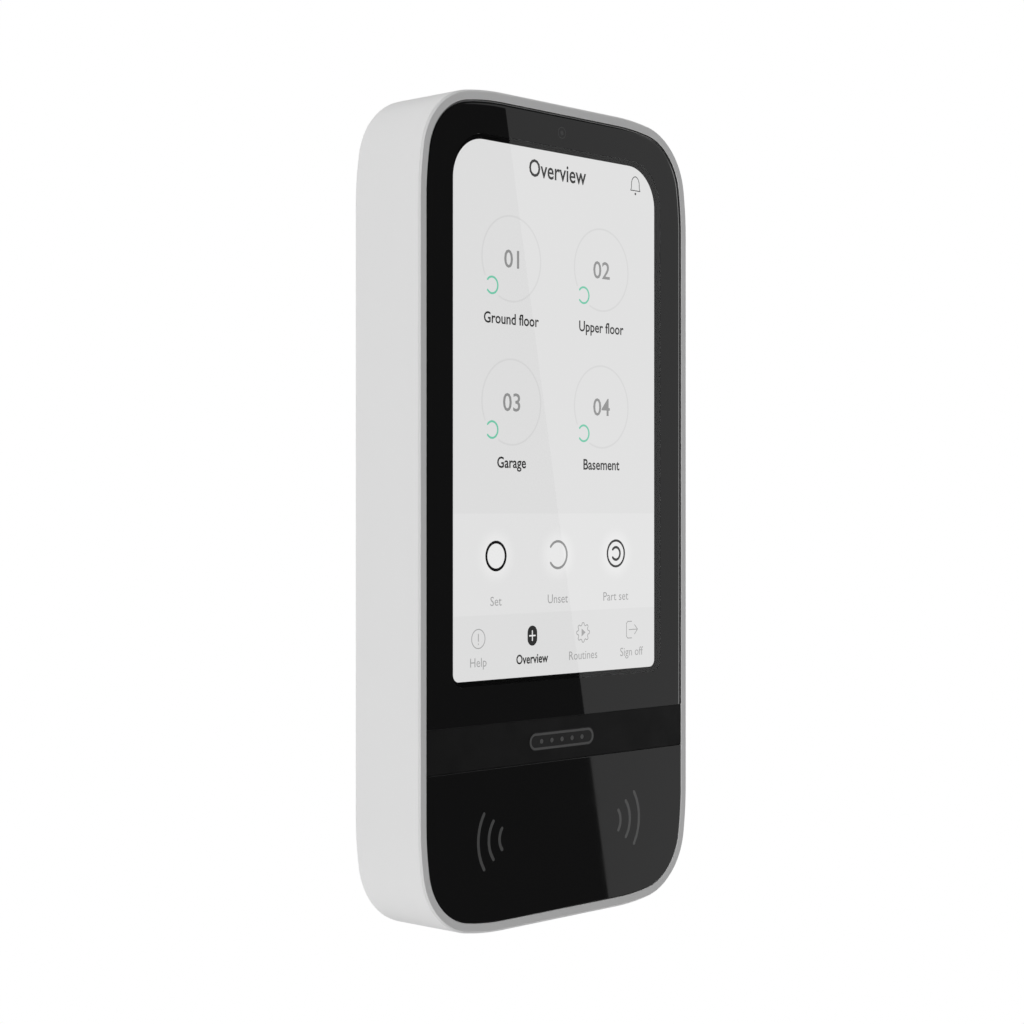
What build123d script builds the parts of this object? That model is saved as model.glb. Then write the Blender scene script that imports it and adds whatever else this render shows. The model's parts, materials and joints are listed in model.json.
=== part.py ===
from build123d import *
import math
import os

# Alarm keypad panel: a slim wall-hung touch panel on a mounting plate.
# Frame: +Z up, +X to the viewer's right, -Y out of the wall towards the viewer.
# Origin: centre of the wall screw pattern, on the wall plane (y = 0).

# ---------------------------------------------------------------- driving dimensions, mm
WIDTH = 84.4
HEIGHT = 172.0
DEPTH = 19.0
CORNER = 24.0              # how far each rounded corner reaches along its two edges
CORNER_SWEEP = 9.2         # degrees turned by the shallow arc at each end of a corner
CORNER_SHALLOW = 2.764     # radius of that arc, in corner lengths

SHELL_WALL = 2.0
EDGE_ROUND = 0.45
REAR_LIFT = 0.3            # the shell's rear edge stands this far off the wall
GLASS_GAP = 0.17           # all round the cover glass
GLASS_BELOW_RIM = 0.1
GLASS_THICK = 1.8
GLASS_BEVEL = 0.35
GLASS_FOOT_Z = -43.35
BAR_TOP_Z = -43.45
BAR_FOOT_Z = -52.5
TRIM_FIT = 0.08            # all round the indicator bar and the reader cover

PANEL_WIDTH = 65.6         # display glass
PANEL_TOP_Z = 78.0
PANEL_FOOT_Z = -39.0
TOUCH_THICK = 0.3
LCD_THICK = 1.0
BACKLIGHT_THICK = 0.8
TRAY_THICK = 0.4
TRAY_LIP = 2.2
TRAY_FIT = 0.1             # between the display stack and the tray's walls
FLEX_THICK = 0.2
FLEX_HALF = 7.0

SENSOR_Z = 80.1
SENSOR_HOLE_R = 1.5
LENS_LENGTH = 20.6
LENS_HEIGHT = 4.0
LENS_Z = -48.1

PLATE_THICK = 2.0
PLATE_CHAMFER = 0.3
PLATE_EDGE_GAP = 0.6       # between the plate's edge and the shell wall
LIFT_TRAVEL = 7.0          # upward slide that frees the panel from the hooks
SLIDE_GAP = 0.3            # running clearance between plate and panel

COVER_THICK = 1.2
COVER_CHAMFER = 0.25
COVER_RIB_FRONT = -6.4     # stiffening rib inside the cover
COVER_RIB = 1.0
COVER_GAP = 0.2            # between plate and back cover
COVER_FIT = 0.15           # between back cover and shell wall

HOOK_X = 30.0
HOOK_STEM_TOPS = (52.0, -26.0)
HOOK_WIDTH = 8.0
HOOK_STEM = 2.5
HOOK_LIP = 6.2
HOOK_LIP_THICK = 1.5

WALL_HOLE_DX = 50.0
WALL_HOLE_DZ = 120.0
WALL_HOLE_R = 2.25
WALL_SINK_R = 3.6

CELL_DIAMETER = 10.5
CELL_LENGTH = 44.5
CELL_PITCH = 11.0
CELL_COUNT = 4
CELL_NUB_R = 1.9
CELL_NUB = 0.8

BOARD_THICK = 1.2
BOARD_FRONT = -13.4
MAIN_BOARD_Z = (16.0, 76.0)
BOARD_HALF = 29.2
TONGUE_HALF = 7.0          # tongue of the main board behind the sensor
TONGUE_TOP_Z = 81.4
BOARD_SCREW_X = 26.0
BOARD_SCREW_Z = (20.0, 71.0)
CAN_LIMITS = ((-25.0, -7.0, 42.0, 64.0), (5.0, 25.0, 38.0, 64.0))
CAN_HEIGHT = 2.4
CAN_SHEET = 0.3
CHIPS = ((-16.0, 53.0, 5.0), (15.0, 51.0, 6.0), (12.0, 30.0, 4.0), (22.0, 29.0, 3.0), (-23.0, 34.0, 3.0))
CHIP_THICK = 1.0
CONNECTOR_FRONT = -14.25
ANTENNA_X = (-31.0, -10.0)
ANTENNA_Z = (72.5, 75.5)
ANTENNA_BACK = -7.2
ANTENNA_LEG_X = -14.4
ANTENNA_SHEET = 0.4

POWER_BOARD_LEFT = -21.0
POWER_BOARD_Z = (-73.0, -42.5)
POWER_FLEX_X = (24.0, 28.6)
POWER_FLEX_ENDS = (-48.0, 24.0)
BUZZER_PLACE = (21.6, -62.0)
BUZZER_R = 6.0
BUZZER_HEIGHT = 5.0
BUZZER_HOLE_R = 1.0
SOUND_HOLE_X = 13.0        # first of the sound holes in the shell's foot
SOUND_HOLE_PITCH = 2.2
SOUND_HOLE_COUNT = 3
SOUND_HOLE_Y = -9.0
SOUND_HOLE_R = 0.6

READER_BOARD = (-33.0, 33.0, -79.5, -56.5)
READER_CORNER = 7.5
COIL_TURNS = 4
COIL_MARGIN = 1.0
COIL_TRACK = 0.7
COIL_PITCH = 1.3
READER_CHIP = (-3.5, 3.5, -71.5, -64.5)
LED_BOARD = (-14.0, 14.0, -52.0, -44.2)
LED_BOARD_FRONT = -15.9
LED_X = (-7.2, -3.6, 0.0, 3.6, 7.2)
LED_HALF = (0.8, 0.6)
LED_HEIGHT = 0.7

TAMPER_X, TAMPER_Z = 0.0, 27.0
TAMPER_HALF = 4.0
TAMPER_TIP = -2.2          # just clear of the plate's tab
TAMPER_STEM_R = 1.4
TAMPER_COLLAR_R = 2.1
SWITCH_BACK = -5.2
SPRING_TURNS = 4
SPRING_WIRE_R = 0.14
POWER_X, POWER_Z = -16.0, 27.0
POWER_HALF = 3.0
POWER_CAP_R = 2.5
POWER_STEM_R = 1.2
TAB_HALF_WIDTH = 8.0       # breakaway tab in the plate
TAB_FOOT_Z, TAB_TOP_Z = 20.0, 44.0
TAB_HOLE_Z = 38.0
TAB_SLOT = 1.0
TAB_BRIDGE_Z = (25.0, 39.0)
KNOCK_OUT_X = 31.0         # break-out cable ways
KNOCK_OUT_HALF = 5.0
KNOCK_OUT_Z = (-16.0, 2.0)
KNOCK_OUT_GROOVE = 0.8
KNOCK_OUT_DEPTH = 1.2
RECESS_DEPTH = 0.8         # moulded recesses in the plate's rear, mirrored left and right
RECESS_CORNER = 1.6
RECESSES = ((0.8, 15.0, 52.0, 74.5), (16.6, 33.0, 68.0, 74.5), (12.0, 23.0, 21.0, 50.4), (24.6, 34.6, 21.0, 50.4),
            (12.0, 22.5, 4.0, 19.4), (24.6, 34.6, 4.0, 19.4), (0.8, 10.4, -14.0, 17.4), (12.0, 24.4, -14.0, 2.4),
            (0.8, 10.4, -38.0, -15.6), (12.0, 22.5, -40.0, -15.6), (24.6, 34.6, -48.0, -18.6))

FLANGE_HALF = 10.0
FLANGE_THICK = 2.5
FLANGE_REACH = 9.2
LOCK_Y = -5.6
LOCK_SHANK_R = 1.45
LOCK_HEAD_R = 2.6
LOCK_HEAD = 1.5
LOCK_LENGTH = 9.0

TERMINAL_WAYS = 4
TERMINAL_PITCH = 3.5
POCKET_HALF = 13.0
POCKET_TOP_Z = -41.0
POCKET_FOOT_Z = -70.0
POCKET_FLOOR_Y = -10.5
POCKET_WALL = 1.0
TERMINAL_Y = -6.9
SOCKET_FOOT_Z = -46.0
SOCKET_TOP_Z = -42.6
PIN_TOP_Z = -43.8
PLUG_FOOT_Z = -54.0
CLAMP_SCREW_Z = -50.0
CLAMP_SCREW_FRONT = -5.4

# ---------------------------------------------------------------- derived places
FRONT_Y = -DEPTH
GLASS_FRONT = FRONT_Y + GLASS_BELOW_RIM
GLASS_BACK = GLASS_FRONT + GLASS_THICK
GLASS_INSET = SHELL_WALL + GLASS_GAP
TRIM_INSET = SHELL_WALL + TRIM_FIT
TOUCH_BACK = GLASS_BACK + TOUCH_THICK
LCD_BACK = TOUCH_BACK + LCD_THICK
BACKLIGHT_BACK = LCD_BACK + BACKLIGHT_THICK
TRAY_BACK = BACKLIGHT_BACK + TRAY_THICK
PANEL_HEIGHT = PANEL_TOP_Z - PANEL_FOOT_Z
PANEL_MID_Z = (PANEL_TOP_Z + PANEL_FOOT_Z) / 2
TRAY_WIDTH = PANEL_WIDTH + 2 * (TRAY_FIT + TRAY_THICK)
TRAY_HEIGHT = PANEL_HEIGHT + 2 * (TRAY_FIT + TRAY_THICK)
WINDOW_WIDTH = TRAY_WIDTH + 0.6
WINDOW_HEIGHT = TRAY_HEIGHT + 0.6

CARRIER_FRONT = GLASS_BACK + 0.1
CARRIER_BACK = -13.75
CARRIER_SKIN_BACK = -16.3      # thin front wall over the reader and indicator boards
LEDGE_FRONT = -13.7
LEDGE_BACK = -12.3
LEDGE_INSET = 4.2

COVER_BACK = -(PLATE_THICK + COVER_GAP)
COVER_FRONT = COVER_BACK - COVER_THICK
COVER_INSET = SHELL_WALL + COVER_FIT
BOARD_BACK = BOARD_FRONT + BOARD_THICK

BAY_HALF_WIDTH = CELL_PITCH * CELL_COUNT / 2 + 0.1
BAY_TOP_Z = 11.8
BAY_FOOT_Z = -36.3
HOLDER_WALL = 1.2
HOLDER_FLOOR_FRONT = -14.2
HOLDER_FLOOR_BACK = -13.6
CELL_Y = -8.25
CONTACT_THICK = 0.3

PLATE_INSET = SHELL_WALL + PLATE_EDGE_GAP
SLOT_HEIGHT = HOOK_STEM + LIFT_TRAVEL + SLIDE_GAP
SLOT_WIDTH = HOOK_WIDTH + 2 * SLIDE_GAP
FOOT_Z = -HEIGHT / 2
NOTCH_HALF = FLANGE_HALF + 0.35
NOTCH_FRONT = -(FLANGE_REACH + SLIDE_GAP)

BOSS_PLACES = [(s * x, z) for x, z in ((33.0, 68.0), (36.6, 6.0), (33.0, -70.0)) for s in (-1, 1)]
BOSS_R = 3.0
BOSS_BACK = COVER_FRONT - 0.05
SCREW_SHANK_R = 1.1
SCREW_HOLE_R = 1.15
BOARD_SCREW_PLACES = [(s * BOARD_SCREW_X, z) for z in BOARD_SCREW_Z for s in (-1, 1)]
READER_REAR = CARRIER_SKIN_BACK + 1.1
TERMINAL_HALF = TERMINAL_WAYS * TERMINAL_PITCH / 2 + 0.6
WAY_X = [(way - (TERMINAL_WAYS - 1) / 2) * TERMINAL_PITCH for way in range(TERMINAL_WAYS)]


# ---------------------------------------------------------------- helpers
def soft_corner(x_edge, z_edge, extent, inset):
    """Upper right corner as shallow, tight and shallow arcs, tangent throughout."""
    turn = math.radians(CORNER_SWEEP)
    shallow = CORNER_SHALLOW * extent
    reach = math.sin(turn) + 1 - math.cos(turn)
    tight = (extent - shallow * reach) / (math.cos(turn) - math.sin(turn))
    side = (x_edge - shallow, z_edge - extent)
    top = (x_edge - extent, z_edge - shallow)
    middle = (side[0] + (shallow - tight) * math.cos(turn), side[1] + (shallow - tight) * math.sin(turn))
    return [
        CenterArc(side, shallow - inset, 0, CORNER_SWEEP),
        CenterArc(middle, tight - inset, CORNER_SWEEP, 90 - 2 * CORNER_SWEEP),
        CenterArc(top, shallow - inset, 90 - CORNER_SWEEP, CORNER_SWEEP),
    ]


def case_outline(inset=0.0):
    """The panel's front outline, moved inwards by inset."""
    x, z = WIDTH / 2, HEIGHT / 2
    corner = Curve() + soft_corner(x, z, CORNER, inset)
    upper = [corner, mirror(corner, Plane.YZ)]
    lower = [mirror(part, Plane.XZ) for part in upper]
    x_line, z_line = x - inset, z - inset
    lines = [Line((s * x_line, CORNER - z), (s * x_line, z - CORNER)) for s in (-1, 1)]
    lines += [Line((CORNER - x, s * z_line), (x - CORNER, s * z_line)) for s in (-1, 1)]
    return make_face(Curve() + upper + lower + lines)


def slab(sketch, front, back):
    """A flat piece drawn in x and z between two depths."""
    return extrude(Plane.XZ.offset(-back) * sketch, amount=back - front)


def block(x0, x1, y0, y1, z0, z1):
    """A plain block between three pairs of limits."""
    centre = Pos((x0 + x1) / 2, (y0 + y1) / 2, (z0 + z1) / 2)
    return centre * Box(x1 - x0, y1 - y0, z1 - z0)


def tile(x0, x1, z0, z1, radius=0.0):
    """A rectangle in x and z, with rounded corners where a radius is given."""
    shape = RectangleRounded(x1 - x0, z1 - z0, radius) if radius else Rectangle(x1 - x0, z1 - z0)
    return Pos((x0 + x1) / 2, (z0 + z1) / 2) * shape


def disc(x, z, radius):
    """A circle in x and z."""
    return Pos(x, z) * Circle(radius)


def rod_y(x, z, radius, front, back):
    """A round bar along y."""
    return slab(disc(x, z, radius), front, back)


def rod_z(x, y, radius, foot, top):
    """A round bar along z."""
    return Pos(x, y, (foot + top) / 2) * Cylinder(radius, top - foot)


def front_rim(part, depth):
    """The edges of a part that lie in the plane at the given depth."""
    return part.edges().filter_by_position(Axis.Y, depth - 0.001, depth + 0.001)


# ---------------------------------------------------------------- shell and front pieces
def outer_frame():
    """White side wall and front rim, with an inner ledge, screw bosses and a notch at the foot."""
    wall = slab(case_outline() - case_outline(SHELL_WALL), FRONT_Y, -REAR_LIFT)
    outer_edges = [e for e in front_rim(wall, FRONT_Y) + front_rim(wall, -REAR_LIFT) if is_outer(e)]
    wall = fillet(outer_edges, EDGE_ROUND)
    ledge = slab(case_outline(SHELL_WALL - 0.2) - case_outline(LEDGE_INSET), LEDGE_FRONT, LEDGE_BACK)
    frame = wall + ledge
    for x, z in BOSS_PLACES:
        reach = math.copysign(WIDTH / 2 - SHELL_WALL + 0.1, x)
        web = tile(min(x, reach), max(x, reach), z - 1.0, z + 1.0)
        boss = slab(disc(x, z, BOSS_R) + web, LEDGE_FRONT, BOSS_BACK)
        frame += boss & slab(case_outline(SHELL_WALL - 0.2), LEDGE_FRONT, BOSS_BACK)
    for x, z in BOSS_PLACES:
        frame -= rod_y(x, z, SCREW_HOLE_R, LEDGE_FRONT + 2.0, 0)
    frame -= block(-NOTCH_HALF, NOTCH_HALF, NOTCH_FRONT, 1, FOOT_Z - 1, FOOT_Z + SHELL_WALL + 0.1)
    for step in range(SOUND_HOLE_COUNT):
        x = SOUND_HOLE_X + step * SOUND_HOLE_PITCH
        frame -= rod_z(x, SOUND_HOLE_Y, SOUND_HOLE_R, FOOT_Z - 1, FOOT_Z + SHELL_WALL + 1)
    return frame


def is_outer(edge):
    """True for an edge on the outside of the shell, not on its inner outline."""
    middle = edge @ 0.5
    probe = Vertex(middle.X, middle.Z, 0)
    return probe.distance_to(case_outline(SHELL_WALL)) > SHELL_WALL - 0.1


def front_carrier():
    """Black inner frame that carries the glass, the display stack and the reader."""
    carrier = slab(case_outline(SHELL_WALL + 0.1), CARRIER_FRONT, CARRIER_BACK)
    window = Pos(0, PANEL_MID_Z) * Rectangle(WINDOW_WIDTH, WINDOW_HEIGHT)
    carrier -= slab(window, CARRIER_FRONT - 1, CARRIER_BACK + 1)
    carrier -= slab(tile(-35.0, 35.0, -81.0, -55.0, 9.0), CARRIER_SKIN_BACK, CARRIER_BACK + 1)
    carrier -= slab(tile(-15.0, 15.0, -52.6, -43.6, 1.0), CARRIER_SKIN_BACK, CARRIER_BACK + 1)
    carrier -= slab(Pos(0, LENS_Z) * SlotOverall(LENS_LENGTH - 3.0, LENS_HEIGHT - 1.2),
                    CARRIER_FRONT - 1, CARRIER_BACK + 1)
    carrier -= rod_y(0, SENSOR_Z, SENSOR_HOLE_R, CARRIER_FRONT - 1, CARRIER_BACK + 1)
    carrier -= block(-3.0, 3.0, -15.0, CARRIER_BACK + 1, PANEL_TOP_Z, SENSOR_Z + 1.8)
    carrier -= block(-8.5, 8.5, CARRIER_FRONT - 1, CARRIER_BACK + 1, PANEL_FOOT_Z - 2.0, PANEL_FOOT_Z)
    left, right = POWER_FLEX_X
    carrier -= block(left - 0.8, right + 0.8, -14.9, CARRIER_BACK + 1, -51.5, PANEL_FOOT_Z)
    return carrier


def front_piece(foot, top, inset):
    """The part of the panel's front between two heights."""
    strip = tile(-WIDTH, WIDTH, foot, top)
    return slab(case_outline(inset) & strip, GLASS_FRONT, GLASS_BACK)


def cover_glass():
    """Cover glass of the touch display, bevelled all round its front."""
    glass = front_piece(GLASS_FOOT_Z, HEIGHT, GLASS_INSET)
    return chamfer(front_rim(glass, GLASS_FRONT), GLASS_BEVEL)


def lens_hole(clearance):
    """Opening for the indicator lens."""
    return Pos(0, LENS_Z) * SlotOverall(LENS_LENGTH + 2 * clearance, LENS_HEIGHT + 2 * clearance)


def indicator_bar():
    """Matt bar between the display glass and the reader cover."""
    bar = front_piece(BAR_FOOT_Z + 0.04, BAR_TOP_Z, TRIM_INSET)
    return bar - slab(lens_hole(0.05), GLASS_FRONT - 1, GLASS_BACK + 1)


def indicator_lens():
    """Smoked lens in the bar, with a narrower foot that reaches the indicator lights."""
    head = slab(lens_hole(0), GLASS_FRONT, GLASS_BACK)
    foot = slab(Pos(0, LENS_Z) * SlotOverall(LENS_LENGTH - 3.2, LENS_HEIGHT - 1.4), GLASS_BACK, -16.9)
    return head + foot


def reader_cover():
    """Glossy lower cover over the card reader."""
    return front_piece(-HEIGHT, BAR_FOOT_Z - 0.04, TRIM_INSET)


# ---------------------------------------------------------------- display stack
def display_layer(width, height, front, back, radius=0.0):
    """One flat layer of the display, centred on the display."""
    shape = RectangleRounded(width, height, radius) if radius else Rectangle(width, height)
    return slab(Pos(0, PANEL_MID_Z) * shape, front, back)


def display_tray():
    """Thin steel tray, folded up round the backlight."""
    tray = display_layer(TRAY_WIDTH, TRAY_HEIGHT, TRAY_BACK - TRAY_LIP, TRAY_BACK, 0.8)
    inner_width, inner_height = PANEL_WIDTH + 2 * TRAY_FIT, PANEL_HEIGHT + 2 * TRAY_FIT
    tray -= display_layer(inner_width, inner_height, TRAY_BACK - TRAY_LIP - 1, BACKLIGHT_BACK, 0.4)
    return tray - block(-9, 9, -20, BACKLIGHT_BACK, PANEL_FOOT_Z - 2, PANEL_FOOT_Z)


def display_gasket():
    """Foam frame between the cover glass and the rim of the carrier's window."""
    band = Rectangle(WINDOW_WIDTH + 3.0, WINDOW_HEIGHT + 1.4) - Rectangle(WINDOW_WIDTH, WINDOW_HEIGHT)
    return slab(Pos(0, PANEL_MID_Z) * band, GLASS_BACK, CARRIER_FRONT)


def display_flex():
    """Flat cable from the display's foot, folded behind the tray and up to the main board."""
    behind, ahead = TRAY_BACK + 0.1, TOUCH_BACK + 0.3
    fold, top = PANEL_FOOT_Z - 0.9, POWER_FLEX_ENDS[1]
    flex = block(-FLEX_HALF, FLEX_HALF, behind, behind + FLEX_THICK, fold, top)
    flex += block(-FLEX_HALF, FLEX_HALF, ahead, behind + FLEX_THICK, fold, fold + FLEX_THICK)
    return flex + block(-FLEX_HALF, FLEX_HALF, ahead, ahead + FLEX_THICK, fold, PANEL_FOOT_Z)


# ---------------------------------------------------------------- reader and indicator
def reader_board():
    """Circuit board behind the reader cover."""
    return slab(tile(*READER_BOARD, READER_CORNER), CARRIER_SKIN_BACK + 0.1, READER_REAR)


def reader_coil():
    """Copper turns round the edge of the reader board."""
    left, right, foot, top = READER_BOARD
    turns = []
    for turn in range(COIL_TURNS):
        start = COIL_MARGIN + turn * COIL_PITCH
        rings = [tile(left + step, right - step, foot + step, top - step, READER_CORNER - step)
                 for step in (start, start + COIL_TRACK)]
        turns.append(slab(rings[0] - rings[1], READER_REAR, READER_REAR + 0.1))
    return turns


def reader_chip():
    """Reader circuit in the middle of the coil."""
    return slab(tile(*READER_CHIP), READER_REAR, READER_REAR + 0.9)


def led_board():
    """Small board that carries the indicator lights."""
    return slab(tile(*LED_BOARD, 0.6), LED_BOARD_FRONT, LED_BOARD_FRONT + 1.0)


def indicator_leds():
    """Five lights behind the lens."""
    across, up = LED_HALF
    front, rear = LED_BOARD_FRONT - LED_HEIGHT, LED_BOARD_FRONT
    return [slab(tile(x - across, x + across, LENS_Z - up, LENS_Z + up), front, rear) for x in LED_X]


# ---------------------------------------------------------------- main board
def main_board():
    """Upper circuit board, with a tongue up to the proximity sensor."""
    foot, top = MAIN_BOARD_Z
    tongue = tile(-TONGUE_HALF, TONGUE_HALF, top - 6.0, TONGUE_TOP_Z, 1.0)
    shape = tile(-BOARD_HALF, BOARD_HALF, foot, top, 2.0) + tongue
    board = slab(shape, BOARD_FRONT, BOARD_BACK)
    for x, z in BOARD_SCREW_PLACES:
        board -= rod_y(x, z, 1.3, BOARD_FRONT - 1, BOARD_BACK + 1)
    return board


def shield_cans():
    """Pressed screens over the radio and the processor."""
    cans = []
    for x0, x1, z0, z1 in CAN_LIMITS:
        can = slab(tile(x0, x1, z0, z1, 1.2), BOARD_BACK, BOARD_BACK + CAN_HEIGHT)
        hollow = tile(x0 + CAN_SHEET, x1 - CAN_SHEET, z0 + CAN_SHEET, z1 - CAN_SHEET, 0.9)
        cans.append(can - slab(hollow, BOARD_BACK, BOARD_BACK + CAN_HEIGHT - CAN_SHEET))
    return cans


def board_chips():
    """Circuits on the main board: two under the screens and three in the open."""
    return [slab(tile(x - half, x + half, z - half, z + half), BOARD_BACK, BOARD_BACK + CHIP_THICK)
            for x, z, half in CHIPS]


def board_connectors():
    """Flat cable connectors on the front of the two boards."""
    wide = slab(tile(-8.5, 8.5, 19.0, 23.5), CONNECTOR_FRONT, BOARD_FRONT)
    wide -= block(-FLEX_HALF - 0.2, FLEX_HALF + 0.2, -20, CONNECTOR_FRONT + 0.15, 19.0, 24.5)
    left, right = POWER_FLEX_X
    return [wide] + [slab(tile(left - 0.4, right + 0.4, z - 1.8, z + 1.8), CONNECTOR_FRONT, BOARD_FRONT)
                     for z in POWER_FLEX_ENDS]


def power_flex():
    """Flat cable between the power board and the main board, beside the battery bay."""
    foot, top = POWER_FLEX_ENDS
    front = CONNECTOR_FRONT - 0.25
    return block(*POWER_FLEX_X, front, front + FLEX_THICK, foot - 1.5, top + 1.5)


def proximity_sensor():
    """Sensor behind the small window above the display."""
    return slab(tile(-2.2, 2.2, SENSOR_Z - 1.6, SENSOR_Z + 1.6), -14.6, BOARD_FRONT)


def radio_antenna():
    """Bent strip antenna on the upper edge of the main board."""
    left, right = ANTENNA_X
    strip = block(left, right, ANTENNA_BACK - ANTENNA_SHEET, ANTENNA_BACK, *ANTENNA_Z)
    for leg in (left, ANTENNA_LEG_X):
        strip += block(leg, leg + ANTENNA_SHEET, BOARD_BACK, ANTENNA_BACK, *ANTENNA_Z)
    return strip


# ---------------------------------------------------------------- power board and terminals
def power_board():
    """Lower circuit board, for the terminals and the sounder."""
    return slab(tile(POWER_BOARD_LEFT, BOARD_HALF, *POWER_BOARD_Z, 2.0), BOARD_FRONT, BOARD_BACK)


def buzzer():
    """Round sounder with its sound hole to the rear."""
    rear = BOARD_BACK + BUZZER_HEIGHT
    body = rod_y(*BUZZER_PLACE, BUZZER_R, BOARD_BACK, rear)
    return body - rod_y(*BUZZER_PLACE, BUZZER_HOLE_R, rear - 2.0, rear + 1)


def terminal_socket():
    """Fixed half of the pluggable terminal, standing on the power board."""
    half = TERMINAL_HALF + 1.0
    body = block(-half, half, BOARD_BACK, TERMINAL_Y + 3.0, SOCKET_FOOT_Z, SOCKET_TOP_Z)
    front, rear = TERMINAL_Y - 2.4, TERMINAL_Y + 2.4
    return body - block(-TERMINAL_HALF, TERMINAL_HALF, front, rear, SOCKET_FOOT_Z - 1, PIN_TOP_Z)


def terminal_pins():
    """Brass pins of the socket."""
    return [rod_z(x, TERMINAL_Y, 0.5, SOCKET_FOOT_Z + 0.2, PIN_TOP_Z) for x in WAY_X]


def terminal_plug():
    """Pull-off half of the terminal, with wire holes below and clamp screws at the rear."""
    nose_half, body_half = TERMINAL_HALF - 0.25, TERMINAL_HALF + 0.6
    plug_top = SOCKET_FOOT_Z - 0.3
    nose = block(-nose_half, nose_half, TERMINAL_Y - 2.1, TERMINAL_Y + 2.1, plug_top - 0.7, PIN_TOP_Z - 0.3)
    body = block(-body_half, body_half, TERMINAL_Y - 3.2, TERMINAL_Y + 3.3, PLUG_FOOT_Z, plug_top)
    plug = fillet(body.edges().filter_by(Axis.Z), 0.5) + nose
    for x in WAY_X:
        plug -= rod_z(x, TERMINAL_Y, 0.65, CLAMP_SCREW_Z + 1.5, PIN_TOP_Z + 1)
        plug -= rod_z(x, TERMINAL_Y, 1.15, PLUG_FOOT_Z - 1, CLAMP_SCREW_Z - 0.5)
        plug -= rod_y(x, CLAMP_SCREW_Z, 1.3, CLAMP_SCREW_FRONT, 0)
    return plug


def terminal_screws():
    """Slotted clamp screws in the plug."""
    rear = CLAMP_SCREW_FRONT + 1.6
    screws = []
    for x in WAY_X:
        slot = block(x - 0.2, x + 0.2, rear - 0.4, rear + 1, CLAMP_SCREW_Z - 2, CLAMP_SCREW_Z + 2)
        screws.append(rod_y(x, CLAMP_SCREW_Z, 1.22, CLAMP_SCREW_FRONT, rear) - slot)
    return screws


# ---------------------------------------------------------------- batteries
def cell_x(index):
    """Centre of a cell across the bay."""
    return (index - (CELL_COUNT - 1) / 2) * CELL_PITCH


def is_nub_up(index):
    """Cells lie head to tail."""
    return index % 2 == 0


def battery_holder():
    """Open tray for four cells side by side, with a low rib between neighbours."""
    half, foot, top = BAY_HALF_WIDTH + HOLDER_WALL, BAY_FOOT_Z - HOLDER_WALL, BAY_TOP_Z + HOLDER_WALL
    holder = block(-half, half, HOLDER_FLOOR_FRONT, COVER_FRONT - 0.1, foot, top)
    holder -= block(-BAY_HALF_WIDTH, BAY_HALF_WIDTH, HOLDER_FLOOR_BACK, 0, BAY_FOOT_Z, BAY_TOP_Z)
    for index in range(CELL_COUNT - 1):
        x = (cell_x(index) + cell_x(index + 1)) / 2
        holder += block(x - 0.2, x + 0.2, HOLDER_FLOOR_BACK - 0.1, -10.4, BAY_FOOT_Z + 6, BAY_TOP_Z - 6)
    return holder


def battery_cell(index):
    """One cell, with its nub."""
    flat_z = BAY_TOP_Z - CONTACT_THICK - 0.05
    foot = BAY_FOOT_Z + CONTACT_THICK + 0.05
    body_length = CELL_LENGTH - CELL_NUB
    if is_nub_up(index):
        body = rod_z(cell_x(index), CELL_Y, CELL_DIAMETER / 2, flat_z - CELL_LENGTH, flat_z - CELL_NUB)
        return fillet(body.edges(), 0.4) + rod_z(cell_x(index), CELL_Y, CELL_NUB_R, flat_z - 1.0, flat_z)
    body = rod_z(cell_x(index), CELL_Y, CELL_DIAMETER / 2, foot + CELL_NUB, foot + CELL_NUB + body_length)
    return fillet(body.edges(), 0.4) + rod_z(cell_x(index), CELL_Y, CELL_NUB_R, foot, foot + 1.0)


def battery_contacts():
    """Flat contact plates at both ends of every cell."""
    plates = []
    for index in range(CELL_COUNT):
        x = cell_x(index)
        for z in (BAY_FOOT_Z, BAY_TOP_Z - CONTACT_THICK):
            plates.append(block(x - 4.0, x + 4.0, -12.6, -4.0, z, z + CONTACT_THICK))
    return plates


def battery_springs():
    """Leaf springs that press each cell's flat end."""
    springs = []
    for index in range(CELL_COUNT):
        base = BAY_FOOT_Z + CONTACT_THICK if is_nub_up(index) else BAY_TOP_Z - CONTACT_THICK
        way = 1 if is_nub_up(index) else -1
        rise = BAY_TOP_Z - BAY_FOOT_Z - 2 * CONTACT_THICK - 0.05 - CELL_LENGTH - 0.05
        x = cell_x(index)
        crown = base + way * rise
        outer = ThreePointArc((CELL_Y - 3.2, base), (CELL_Y, crown), (CELL_Y + 3.2, base))
        inner = ThreePointArc((CELL_Y - 2.9, base), (CELL_Y, crown - way * 0.25), (CELL_Y + 2.9, base))
        ends = [Line(outer @ 0, inner @ 0), Line(outer @ 1, inner @ 1)]
        profile = make_face(Curve() + [outer, inner, *ends])
        springs.append(extrude(Plane.YZ.offset(x - 1.5) * profile, amount=3.0))
    return springs


# ---------------------------------------------------------------- rear cover
def hook_slot(x, stem_top):
    """Opening that lets a hook's lip pass when the panel is lifted."""
    return tile(x - SLOT_WIDTH / 2, x + SLOT_WIDTH / 2, stem_top + 0.1 - SLOT_HEIGHT, stem_top + 0.1, 0.5)


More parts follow.
